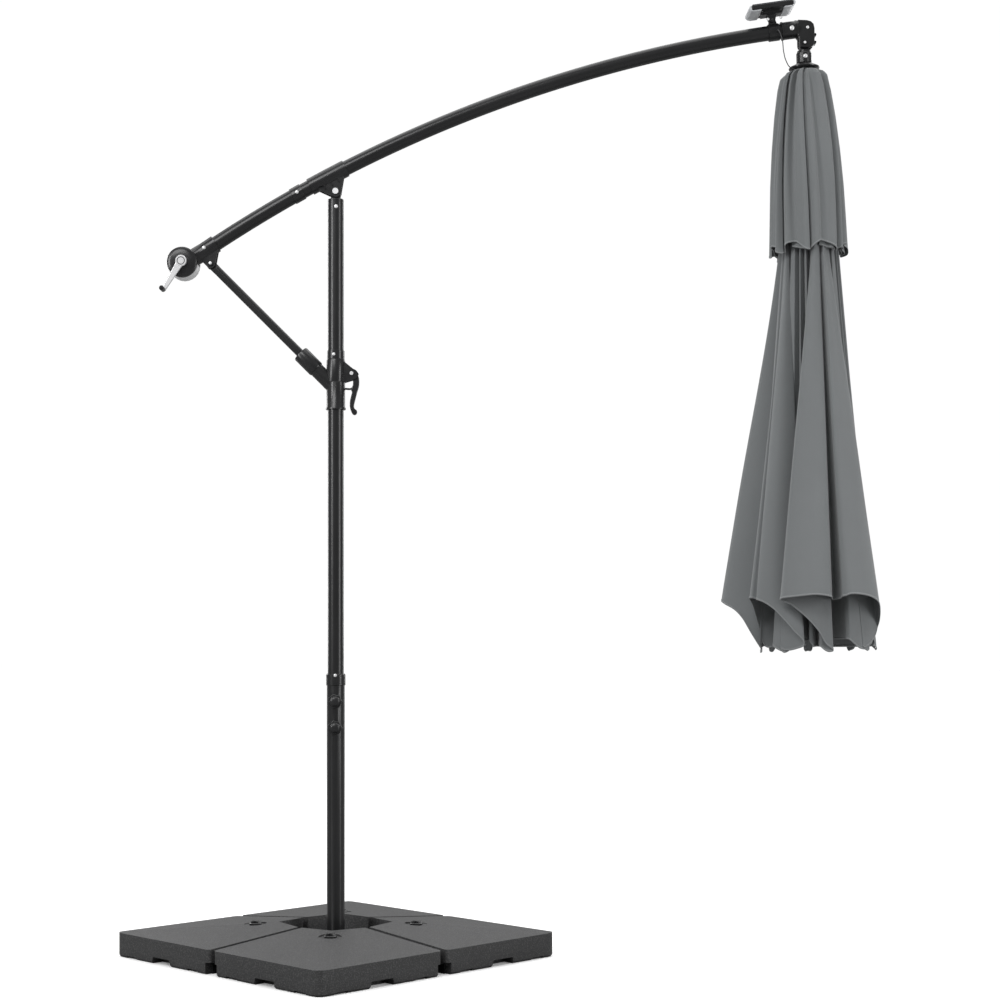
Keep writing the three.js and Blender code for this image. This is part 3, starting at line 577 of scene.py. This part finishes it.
# %% Pull lever and its link
LEVER = smooth_loop([
    (0.0330, 1.5410), (0.0375, 1.5445), (0.0440, 1.5445), (0.0535, 1.5370), (0.0588, 1.5275),
    (0.0616, 1.5155), (0.0610, 1.4995), (0.0566, 1.4840), (0.0517, 1.4650), (0.0481, 1.4490),
    (0.0494, 1.4405), (0.0552, 1.4350), (0.0556, 1.4275), (0.0500, 1.4232), (0.0438, 1.4262),
    (0.0392, 1.4360), (0.0370, 1.4470), (0.0374, 1.4600), (0.0402, 1.4725), (0.0425, 1.4820),
    (0.0408, 1.4885), (0.0430, 1.4960), (0.0452, 1.5040), (0.0446, 1.5140), (0.0400, 1.5172),
    (0.0345, 1.5185), (0.0316, 1.5260), (0.0316, 1.5350),
])
settle(slab("pull_lever", LEVER, -0.0066, 0.0066, 0.0026), NYLON, "lever", "moulding", "lever")
link_path = smooth_path(np.array([
    [0.0218, 0, 1.4922], [0.0290, 0, 1.4920], [0.0360, 0, 1.4915], [0.0410, 0, 1.4925], [0.0445, 0, 1.4950],
]), 6)
settle(crisp(swept("lock_link", link_path, circle(0.0027, 20))), NYLON, "lock_pin", "zinc", "lock_pin")

# %% Crank and reel cover
REEL = np.array([-0.401, 1.821])
along = np.array([math.cos(math.radians(239)), math.sin(math.radians(239))])
across = np.array([-along[1], along[0]])
ends = [(0.0, 0.0135), (0.012, 0.0098), (0.030, 0.0082), (0.060, 0.0066), (0.084, 0.0054), (0.0905, 0.0046)]
crank_outline = [REEL + along * d + across * w for d, w in ends] + [REEL + along * 0.0945]
crank_outline += [REEL + along * d - across * w for d, w in ends[::-1]]
crank_arm = slab("crank_arm", smooth_loop(crank_outline), -0.0462, -0.0385, 0.0022)
settle(crank_arm, CHROME, "crank", "chrome", "crank_handle")
hub_profile = [
    (0, 0.0378), (0.0142, 0.0378), (0.0146, 0.0386), (0.0146, 0.0462), (0.0138, 0.0472), (0, 0.0474),
]
hub_at = (REEL[0], 0, REEL[1])
settle(turned("crank_hub", hub_profile, hub_at, (0, -1, 0)), CHROME, "crank", "chrome")
ring_profile = [(0.0085, 0.0472), (0.0085, 0.0476), (0.0106, 0.0476), (0.0106, 0.0472), (0.0085, 0.0472)]
settle(turned("crank_ring", ring_profile, hub_at, (0, -1, 0)), RUBBER, "crank", "chrome")
cover_profile = [
    (0, 0.0243), (0.0385, 0.0243), (0.0398, 0.0252), (0.0400, 0.0275), (0.0388, 0.0302), (0.0350, 0.0328),
]
cover_profile += [(0.0290, 0.0345), (0.0220, 0.0354), (0.0150, 0.0358), (0.0135, 0.0358), (0, 0.0358)]
settle(turned("reel_dome", cover_profile, hub_at, (0, -1, 0)), NYLON, "arm", "moulding", "reel_cover")

band_angle = np.radians(np.linspace(196, 352, 60))
BAND_R = 0.0405
band_x, band_z = REEL[0] + BAND_R * np.cos(band_angle), REEL[1] + BAND_R * np.sin(band_angle)
band_path = np.stack([band_x, 0 * band_angle, band_z], -1)
band = np.array([[-0.0005, -0.0238], [0.0005, -0.0238], [0.0005, 0.0238], [-0.0005, 0.0238]])
settle(crisp(swept("drum_band", band_path, band)), ZINC, "arm", "zinc")
grip_at = REEL + along * 0.089
grip_profile = [
    (0, 0.0466), (0.0058, 0.0466), (0.0062, 0.0480), (0.0060, 0.0600), (0.0066, 0.0740),
    (0.0060, 0.0775), (0, 0.0782),
]
grip = turned("grip_barrel", grip_profile, (grip_at[0], 0, grip_at[1]), (0, -1, 0), 32)
settle(grip, NYLON, "grip", "moulding", "crank_grip")

# %% Elbow and crown disc
collar = pipe("elbow_collar", arm_points(np.linspace(1.173, 1.214, 12)), 0.0225, 0.0192)
settle(collar, NYLON, "arm", "moulding", "elbow_upper")
for k, x in enumerate((1.1735, 1.2115)):
    lip = pipe(f"elbow_lip_{k + 1}", arm_points(np.linspace(x - 0.0018, x + 0.0018, 4)), 0.0238, 0.0192)
    settle(lip, NYLON, "arm", "moulding")
SHELL = [
    (1.2125, 2.4170), (1.2165, 2.4140), (1.2165, 2.3960), (1.2185, 2.3900), (1.2240, 2.3866),
    (1.2440, 2.3866), (1.2520, 2.3885), (1.2562, 2.3935), (1.2572, 2.4020), (1.2572, 2.4370),
    (1.2545, 2.4480), (1.2475, 2.4550),
]
SHELL += [(1.2370, 2.4580), (1.2125, 2.4590)]
SHELL_TOP = [(x, max(z, 2.4120)) for x, z in SHELL[:2]] + [(1.2165, 2.4120), (1.2572, 2.4120)] + SHELL[9:]
for name, outline, y0, y1 in (
    ("elbow_cheek_front", SHELL, -0.0176, -0.0086), ("elbow_cheek_back", SHELL, 0.0086, 0.0176),
    ("elbow_core", SHELL_TOP, -0.0088, 0.0088),
):
    settle(slab(name, outline, y0, y1, 0.0025), NYLON, "arm", "moulding")
for k, z in enumerate((2.4015, 2.4215)):
    ear_outline = [(1.255, z - 0.003), (1.262, z - 0.003), (1.262, z + 0.003), (1.255, z + 0.003)]
    ear = slab(f"elbow_ear_{k + 1}", smooth_loop(ear_outline), -0.012, 0.012, 0.001)
    settle(ear, NYLON, "arm", "moulding")
hang_axis = (-math.sin(HANG), 0, math.cos(HANG))


def hung(name, profile, around=64):
    """A profile of (radius, height above the ground) turned about the leaning canopy's axis."""
    base = PIN - PIN[2] * np.array(hang_axis)
    return turned(name, profile, base, hang_axis, around)


crown_profile = [
    (0.0135, 2.3475), (0.0195, 2.3475), (0.0215, 2.3465), (0.0290, 2.3425), (0.0385, 2.3378),
    (0.0402, 2.3358), (0.0398, 2.3338), (0.0370, 2.3328), (0.0300, 2.3322), (0.0265, 2.3302),
    (0.0135, 2.3302), (0.0135, 2.3475),
]
settle(hung("crown_disc", crown_profile), NYLON, "canopy", "moulding", "crown_cap")
socket_profile = [
    (0.0178, 2.3485), (0.0198, 2.3485), (0.0198, 2.3735), (0.0188, 2.3750), (0.0178, 2.3750),
    (0.0178, 2.3485),
]
settle(hung("socket_sleeve", socket_profile), NYLON, "canopy", "moulding")

# %% Solar light
SOLAR = np.array([1.152, 2.42958])
TILT = math.radians(8.157)


def on_arm(points):
    """Points in the solar light's own frame, in millimetres, put in place on the arm."""
    points = np.array(points, float) / 1000
    c, s = math.cos(TILT), math.sin(TILT)
    x, z = points[:, 0], points[:, 1]
    return np.stack([SOLAR[0] + c * x - s * z, SOLAR[1] + s * x + c * z], -1)


TRAY = [(-52, 54.5), (52, 54.5), (54.5, 57), (55, 66.2), (-55, 66.2), (-54.5, 57)]
settle(slab("solar_tray", on_arm(TRAY), -0.042, 0.042, 0.0018), NYLON, "solar", "frosted", "solar_panel")
LAMP = [
    (-30, 53.8), (-30, 50.8), (-48, 50.4), (-57, 53.5), (-61, 59), (-60.5, 64.5), (-57, 66.8),
    (-55.4, 66.5), (-55.2, 56), (-52.5, 53.8),
]
settle(slab("lamp_left", on_arm(LAMP), -0.040, 0.040, 0.0012), FROSTED, "solar", "frosted")
mirrored = [(-x, z) for x, z in LAMP]
settle(slab("lamp_right", on_arm(mirrored), -0.040, 0.040, 0.0012), FROSTED, "solar", "frosted")

# %% [markdown]
# ## Solar cell
# A dark glass face with thin silver lines: the cell's strips run across the panel, and
# two bus lines run along it. The pattern reads the cell's own position on its tilted face.


# %% Solar cell finish
def solar_cell():
    bench = Bench("solar_cell_glass", (0.008, 0.010, 0.022), 0.12, coat_weight=1.0, coat_roughness=0.03)
    along = bench.node("ShaderNodeSeparateXYZ", {}, {"Vector": bench.place()}, "X")
    across = bench.node("ShaderNodeSeparateXYZ", {}, {"Vector": bench.place()}, "Y")
    fingers = along.wave(160.0).above(0.96)
    buses = (across * 1.0).wave(26.0).above(0.992)
    lines = fingers.maths("MAXIMUM", fingers, buses)
    colour = bench.mix(lines, (0.008, 0.010, 0.022), (0.32, 0.33, 0.35))
    return bench.set(base_color=colour, roughness=lines * 0.25 + 0.1)


rounded("solar_cell", solar_cell(), "cell", 0.0004)

# %% [markdown]
# ## Fabric
# The canopy is a plain polyester weave. Threads show as two crossed waves on the cloth's
# own UV map, which is in metres along and across the cloth, so they follow every fold.


# %% Woven polyester
THREADS = 700.0                     # threads in a metre


def woven(name, tint):
    bench = Bench(name, tint, 0.86, sheen_weight=0.25, sheen_roughness=0.5)
    cloth = bench.place("UV")
    u = bench.node("ShaderNodeSeparateXYZ", {}, {"Vector": cloth}, "X")
    v = bench.node("ShaderNodeSeparateXYZ", {}, {"Vector": cloth}, "Y")
    weave = u.wave(THREADS) * v.wave(THREADS)
    cloud = bench.noise(6.0, 4.0)
    slub = bench.noise(240.0, 2.0)
    dark = tuple(0.86 * c for c in tint)
    light = tuple(1.1 * c for c in tint)
    colour = bench.mix(cloud * 0.7 + slub * 0.3, dark, light)
    return bench.set(base_color=colour, roughness=slub * 0.1 + 0.8, normal=bench.bump(weave, 0.0002, 0.35))


CLOTH = woven("canopy_polyester", (0.182, 0.1925, 0.197))
TAPE = woven("hem_tape", (0.235, 0.246, 0.25))
print("cloth", CLOTH.name)

# %% [markdown]
# ## The folded canopy
# Open, the canopy is an octagon with eight triangular panels. Folded, the ribs hang
# together and each panel's spare cloth goes into folds that run in straight lines from
# the crown to the hem. So two plans are enough, one at the top and one at the hem, and
# each level between is a mixture of the two. Two panels are tucked in between their
# ribs and one is pulled nearly smooth. Two have swung out to the left, one wraps across
# the front, and two smaller ones stand out behind.

# %% Plan of the hem
RIB_R = 0.148                       # cloth outside a rib's tip, from the canopy's axis
CREASE_R = 0.047                    # innermost reach of a crease
VALLEY_R = 0.104                    # innermost reach of a soft valley


def crease(angle, rim, rise, depth=CREASE_R, spread=2.3):
    """A sharp fold: in from the rim to depth and out again, at nearly one angle."""
    middle = 0.6 * rim + 0.4 * depth
    return np.array([
        [angle - spread, rim, rise], [angle - 0.75 * spread, middle, rise], [angle, depth, rise],
        [angle + 0.75 * spread, middle, rise], [angle + spread, rim, rise],
    ])


def tuck(rib, lift=0.0):
    """A panel whose cloth is folded inside, in four creases between its two ribs."""
    places = ((9, 0.008, 0.08), (18, 0.014 - lift, 0.20), (27, 0.014 - lift, 0.22), (36, 0.008, 0.08))
    return np.concatenate([crease(rib + a, RIB_R - d, rise, CREASE_R, 1.5) for a, d, rise in places])


def shallow(rib):
    """A panel pulled nearly smooth, with three soft valleys between its two ribs."""
    valleys = ((12, 0.1), (22.5, 0.2), (33, 0.1))
    return np.concatenate([crease(rib + a, RIB_R, rise, VALLEY_R, 3.4) for a, rise in valleys])


OUTER_LEFT = np.concatenate([
    crease(145, 0.140, 0.12),
    crease(153.5, 0.142, 0.25),
    [[158, 0.155, 0.6], [163, 0.186, 0.8], [169, 0.222, 0.92], [173.5, 0.244, 0.97], [176.5, 0.250, 0.97]],
    [[180, 0.242, 0.91], [184, 0.222, 0.80], [187.5, 0.202, 0.62], [190.5, 0.184, 0.38]],
    [[192.5, 0.168, 0.16], [191, 0.158, 0.06]],
])
INNER_LEFT = np.concatenate([
    crease(189, 0.148, 0.12),
    [[193, 0.166, 0.5], [200, 0.190, 0.85], [205.5, 0.211, 0.97], [207.6, 0.2175, 1.0], [209.8, 0.217, 1.0]],
    [[211.2, 0.208, 0.98], [212.6, 0.206, 0.97], [213.8, 0.214, 0.97], [215.5, 0.2165, 0.96]],
    [[220, 0.214, 0.92], [227, 0.207, 0.80], [234, 0.197, 0.60], [241, 0.186, 0.38], [247, 0.176, 0.22]],
    [[247, 0.168, 0.12], [240, 0.161, 0.07], [231, 0.156, 0.04], [223, 0.153, 0.06]],
    crease(218.6, 0.148, 0.12, 0.05, -2.0),
    [[215.5, 0.147, 0.14], [211.5, 0.146, 0.16]],
    crease(209, 0.144, 0.16, 0.05, -1.8),
    [[212, 0.151, 0.1], [218, 0.1515, 0.05]],
])
FRONT_LOBE = np.concatenate([
    [[266, 0.160, 0.16], [260, 0.170, 0.38], [250, 0.182, 0.64], [240, 0.200, 0.86]],
    [[234.6, 0.214, 0.93], [235.4, 0.223, 0.96], [239, 0.229, 0.98], [248, 0.229, 1.0]],
    [[257, 0.223, 1.02], [263, 0.216, 1.01], [267.5, 0.205, 0.99], [271, 0.186, 0.97]],
    [[272, 0.170, 0.95], [274.5, 0.148, 0.94], [277, 0.136, 0.93], [279.5, 0.148, 0.94], [280, 0.170, 0.95]],
    [[279.2, 0.186, 0.98], [280, 0.203, 0.99], [284, 0.211, 1.02], [293, 0.212, 1.0]],
    [[302, 0.206, 0.95], [311, 0.197, 0.86], [320, 0.183, 0.72], [328, 0.170, 0.56]],
    [[331, 0.161, 0.42], [327, 0.158, 0.28], [318, 0.156, 0.14], [310, 0.152, 0.06]],
    crease(305.5, 0.147, 0.08, 0.05, -2.3),
    [[301, 0.146, 0.1], [296, 0.145, 0.18]],
    crease(293.5, 0.143, 0.22, 0.05, -2.0),
    [[295, 0.150, 0.16], [302, 0.1515, 0.06], [309, 0.150, 0.03]],
])
BACK_LOBE = np.concatenate([
    crease(99, 0.135, 0.4),
    [[103, 0.160, 0.6], [98, 0.180, 0.8], [92, 0.192, 0.95], [90.5, 0.200, 1.0], [94, 0.206, 1.0]],
    [[104, 0.208, 1.0]],
    crease(112, 0.200, 1.0, 0.055, 1.6),
    [[118, 0.206, 1.0], [126, 0.206, 1.0], [133, 0.200, 0.9], [137, 0.190, 0.8], [136.5, 0.178, 0.6]],
    [[132, 0.163, 0.3]],
    crease(127, 0.138, 0.25, CREASE_R, -2.3),
])
RIGHT_LOBE = np.concatenate([
    crease(54, 0.135, 0.5),
    [[58, 0.155, 0.7], [60, 0.172, 0.9], [63, 0.184, 1.0]],
    crease(67, 0.178, 1.0, 0.055, 1.6),
    [[71, 0.185, 1.0], [77, 0.182, 0.9], [80, 0.170, 0.7], [80, 0.155, 0.5]],
    crease(80.5, 0.135, 0.4),
])
PANELS = [
    tuck(0), RIGHT_LOBE, BACK_LOBE, OUTER_LEFT, INNER_LEFT, shallow(225), FRONT_LOBE, tuck(315, 0.008),
]


def hem_plan(per_span=4):
    """(x, y, rise) and the panel all round the hem, smoothed through the panels' points."""
    start = np.array([[0, 0.003, 0.0], [4.2, 0.002, 0.03]])
    end = np.array([[40.8, 0.002, 0.03]])
    marks = []
    for k, panel in enumerate(PANELS):
        tip = np.array([45.0 * k, RIB_R, 0.0])
        points = np.vstack([tip + start, panel, tip + end])
        marks.append(np.column_stack([points, np.full(len(points), k)]))
    angle, radius, rise, panel = np.vstack([*marks, [[360.0, RIB_R + 0.003, 0.0, 8]]]).T
    x, y = radius * np.cos(np.radians(angle)), radius * np.sin(np.radians(angle))
    smooth = smooth_path(np.stack([x, y, rise], -1), per_span)
    return smooth[:, :2], smooth[:, 2], np.append(np.repeat(panel[:-1], per_span), 7)


hem_xy, hem_rise, hem_panel = hem_plan()
hem_run = np.append(0, np.cumsum(np.linalg.norm(np.diff(hem_xy, axis=0), axis=1)))
print("hem", round(hem_run[-1], 2), "m round,", len(hem_xy), "points")

# %% Canopy surface
CANOPY_TOP = 1.985
RIB_TIP = 0.801
HEM_RISE = 0.143


def lean(points):
    """Turns points about the canopy's pin by HANG, so that its foot swings towards +X."""
    local = points - PIN
    c, s = math.cos(HANG), math.sin(HANG)
    x = c * local[..., 0] - s * local[..., 2]
    z = s * local[..., 0] + c * local[..., 2]
    return np.stack([x, local[..., 1], z], -1) + PIN


def panel_share():
    """q, from 0 at a panel's first rib to 1 at its second, measured along the hem."""
    starts = np.array([hem_run[hem_panel == k][0] for k in range(8)] + [hem_run[-1]])
    k = hem_panel.astype(int)
    return (hem_run - starts[k]) / (starts[k + 1] - starts[k])


def canopy_points(levels=72):
    """Level t mixes the top plan with the hem plan by t^1.1.

    At the top a point at share q of panel k sits at angle 45 (k + q), near the ribs or
    drawn in by as much as it is creased. The hem is lowest at a rib's tip.
    """
    q = panel_share()
    reach = np.linalg.norm(hem_xy, axis=1)
    top_angle = np.radians(45 * (hem_panel + q))
    creased = np.clip((RIB_R - reach) / (RIB_R - CREASE_R), 0, 1)
    top_r = 0.066 + 0.006 * np.cos(top_angle) - 0.030 * creased
    top = top_r[:, None] * np.stack([np.cos(top_angle), np.sin(top_angle)], -1)
    t = np.linspace(0, 1, levels)[:, None]
    w = t[..., None] ** 1.1
    xy = top * (1 - w) + hem_xy * w
    soft = 0.0014 * np.sin(9 * t + 1.7 * hem_panel) * np.sin(60 * q + 5 * t) * t
    bulge = np.clip((reach - RIB_R) / 0.05, 0, 1)
    soft = soft + 0.0058 * bulge * np.sin(34 * q + 3.1 * t + 1.3 * hem_panel) * np.sin(np.pi * t) ** 0.7
    xy = xy * (1 + soft / np.linalg.norm(xy, axis=2))[..., None]
    low = RIB_TIP + HEM_RISE * hem_rise
    z = CANOPY_TOP + (low - CANOPY_TOP) * t
    points = np.stack([PIN[0] + xy[..., 0], xy[..., 1], z], -1)
    uv = np.stack([np.broadcast_to(hem_run, z.shape), CANOPY_TOP - z], -1)
    return lean(points), uv


def cloth_area(points):
    """The area of a grid, as the sum of half the cross products of each cell's diagonals."""
    across = points[1:, 1:] - points[:-1, :-1]
    other = points[1:, :-1] - points[:-1, 1:]
    return float(np.linalg.norm(np.cross(across, other), axis=-1).sum() / 2)


cloth_points, cloth_uv = canopy_points()
canopy = grid_mesh("canopy_cloth", cloth_points, uv=cloth_uv)
settle(canopy, CLOTH, "canopy", "canopy_fabric", "canopy")
print("canopy", cloth_points.shape, round(cloth_area(cloth_points), 2), "square metres")

# %% Hem tape
def tape_along(name, edge, height, thick):
    """A flat tape round a closed edge: a rectangle that stands height tall at each point."""
    tangent = np.roll(edge, -1, axis=0) - np.roll(edge, 1, axis=0)
    out = np.stack([tangent[:, 1], -tangent[:, 0], np.zeros(len(edge))], -1)
    out /= np.linalg.norm(out, axis=1, keepdims=True) + 1e-12
    up = np.array([0, 0, height])
    outer, inner, low = edge + out * thick, edge - out * thick, up * 0.1
    corners = [outer - low, outer + up, inner + up, inner - low]
    points = np.stack(corners + corners[:1], 1)
    return grid_mesh(name, np.concatenate([points, points[:1]]))


hem = tape_along("canopy_hem", cloth_points[-1][:-1], 0.0045, 0.0006)
settle(face_outwards(hem), TAPE, "canopy", "canopy_fabric")

# %% [markdown]
# ## The vent cape
# A small second canopy covers the wind vent in the first. Folded, its panels lie over one
# another like pleats, so its plan runs forwards, back under itself and forwards again.

# %% Vent cape
VENT_LEVELS = np.array([
    [2.327, 0.036], [2.321, 0.048], [2.309, 0.0575], [2.28, 0.0640], [2.207, 0.0745],
    [2.12, 0.0840], [2.027, 0.0915], [1.95, 0.0955], [1.85, 0.1000],
])
VENT_EDGES = (12, 55, 98, 136, 174, 212, 260, 309)      # right-hand fold of each panel


def vent_plan():
    """(angle, layer, height) round the cape. Each panel swells out, ends in a fold over
    the next one, goes back under itself, and comes out again. Its hem is lowest beside
    the fold and highest halfway."""
    rows = []
    before = VENT_EDGES[-1] - 360
    for k, edge in enumerate(VENT_EDGES):
        wide = edge - before
        dip = 0.50 + 0.07 * math.sin(2.4 * k)
        rows += [[before + 0.06 * wide, 0.78, 0.2], [before + 0.20 * wide, 0.25, 0.6]]
        rows += [[before + 0.36 * wide, 0.02, 0.95], [before + dip * wide, 0.42, 1.0]]
        rows += [[before + 0.70 * wide, 0.04, 0.7], [before + 0.88 * wide, -0.04, 0.15]]
        rows += [[edge, 0.20, 0.0], [edge + 0.8, 0.42, 0.08], [edge - 0.25 * wide, 0.62, 0.3]]
        rows += [[edge - 0.55 * wide, 0.82, 0.55], [edge - 0.62 * wide, 1.00, 0.6]]
        rows += [[edge - 0.50 * wide, 1.12, 0.5], [edge - 0.04 * wide, 1.05, 0.15]]
        before = edge
    rows.append([rows[0][0] + 360, *rows[0][1:]])
    return smooth_path(np.array(rows), 6)


def vent_points(levels=60):
    """Radius = crest(level) - depth(t) * layer + a wave, and the hem rises with height."""
    angle, layer, height = vent_plan().T
    t = np.linspace(0, 1, levels)[:, None]
    level = np.interp(t**1.6, np.linspace(0, 1, 9), VENT_LEVELS[:, 0])
    z = level + 0.024 * (height - 0.42) * t**5
    crest = np.interp(-level, -VENT_LEVELS[:, 0], VENT_LEVELS[:, 1])
    depth = 0.004 + 0.011 * t**0.5
    drift = 2.2 * np.sin(2.1 * t + np.radians(3 * angle)) + np.sin(np.radians(2 * angle))
    wave = 0.0060 * np.sin(np.radians(14 * angle) + drift) * np.minimum(3 * t, 1) * (1 - 0.35 * t**4)
    wave += 0.0012 * np.sin(np.radians(23 * angle) + 6 * t) * t
    r = crest - depth * layer + wave
    a = np.radians(angle + 8.0 * np.sin(3.4 * t + np.radians(2 * angle)) * (1 - t**3))
    points = np.stack([PIN[0] + r * np.cos(a), r * np.sin(a), z + 0 * r], -1)
    run = np.append(0, np.cumsum(np.linalg.norm(np.diff(points[-1], axis=0), axis=1)))
    uv = np.stack([np.broadcast_to(run, r.shape), 2.33 - z + 0 * r], -1)
    return points, uv


cape_points, cape_uv = vent_points()
inner = cape_points[:1] * 1.0
inner[..., 0] = PIN[0] + (inner[..., 0] - PIN[0]) * 0.36
inner[..., 1] *= 0.36
whole_uv = np.concatenate([cape_uv[:1], cape_uv])
cape = grid_mesh("vent_cloth", lean(np.concatenate([inner, cape_points])), uv=whole_uv)
settle(cape, CLOTH, "canopy", "canopy_fabric", "canopy_vent")
cape_hem = tape_along("vent_hem", lean(cape_points[-1][:-1]), 0.004, 0.0006)
settle(face_outwards(cape_hem), TAPE, "canopy", "canopy_fabric")
print("vent cape", cape_points.shape, round(cloth_area(cape_points), 3), "square metres")

# %% [markdown]
# ## Stage
# A pale seamless floor runs into a white background. A broad soft light hangs above, and
# two tall strip lights stand left and right of the camera: on round black tubes they draw
# the two long highlights that show the tubes are round. The camera sees the floor and the
# background as white, but they light the parasol only dimly, as grey cards would. This is
# not how a real pale floor behaves: under one the cloth and the weights look lighter.

# %% Floor and light
FLOOR = 40.0
AMBIENT = 0.30
FLOOR_LIT = 0.24                    # how pale the floor is to the light it gives back
FLOOR_SEEN = 0.95                   # how pale it is to the camera
FLOOR_GLOW = 0.16
floor_mesh = bpy.data.meshes.new("floor")
corners = [(-FLOOR, -FLOOR, 0), (FLOOR, -FLOOR, 0), (FLOOR, FLOOR, 0), (-FLOOR, FLOOR, 0)]
floor_mesh.from_pydata(corners, [], [(0, 1, 2, 3)])
floor = bpy.data.objects.new("floor", floor_mesh)
bpy.context.scene.collection.objects.link(floor)


def pale_floor():
    bench = Bench("pale_floor", (0.93, 0.93, 0.93), 0.9)
    seen = bench.node("ShaderNodeLightPath", output="Is Camera Ray")
    colour = bench.mix(seen, (FLOOR_LIT,) * 3, (FLOOR_SEEN,) * 3)
    glow = bench.mix(seen, (0, 0, 0), (1, 1, 1))
    return bench.set(base_color=colour, emission_color=glow, emission_strength=FLOOR_GLOW)


floor.data.materials.append(pale_floor())

world = bpy.data.worlds.new("studio")
world.use_nodes = True
sky = world.node_tree
seen = sky.nodes.new("ShaderNodeLightPath")
scaled = sky.nodes.new("ShaderNodeMath")
scaled.operation = "MULTIPLY_ADD"
scaled.inputs[1].default_value = 1.02 - AMBIENT
scaled.inputs[2].default_value = AMBIENT
sky.links.new(seen.outputs["Is Camera Ray"], scaled.inputs[0])
sky.links.new(scaled.outputs[0], sky.nodes["Background"].inputs["Strength"])
sky.nodes["Background"].inputs["Color"].default_value = (1, 1, 1, 1)
bpy.context.scene.world = world


def strip_light(name, place, aim, wide, tall, watts):
    """A tall soft light at a place, turned to face aim."""
    data = bpy.data.lights.new(name, "AREA")
    data.shape = "RECTANGLE"
    data.size = wide
    data.size_y = tall
    data.energy = watts
    light = bpy.data.objects.new(name, data)
    bpy.context.scene.collection.objects.link(light)
    light.location = place
    to = Vector(np.array(aim, float) - np.array(place, float))
    light.rotation_euler = to.to_track_quat("-Z", "Y").to_euler()
    return light


strip_light("left strip", (-3.4, -2.6, 2.6), (0.3, 0, 1.8), 0.6, 2.6, 84)
strip_light("right strip", (4.6, -2.4, 1.8), (0.6, 0, 1.3), 1.1, 3.2, 78)
strip_light("back strip", (3.4, 4.0, 2.2), (0.5, 0, 1.3), 1.2, 3.0, 60)
strip_light("back left strip", (-3.0, 4.0, 2.2), (0.5, 0, 1.3), 1.2, 3.0, 60)
strip_light("front box", (-1.6, -3.6, 4.4), (0.4, 0, 1.6), 2.6, 1.6, 85)
sun_data = bpy.data.lights.new("overhead", "SUN")
sun_data.energy = 2.1
sun_data.angle = math.radians(80)
sun = bpy.data.objects.new("overhead", sun_data)
bpy.context.scene.collection.objects.link(sun)
sun.rotation_euler = (math.radians(-14), math.radians(6), 0)
bpy.context.scene.view_settings.view_transform = "Standard"
print("stage set")
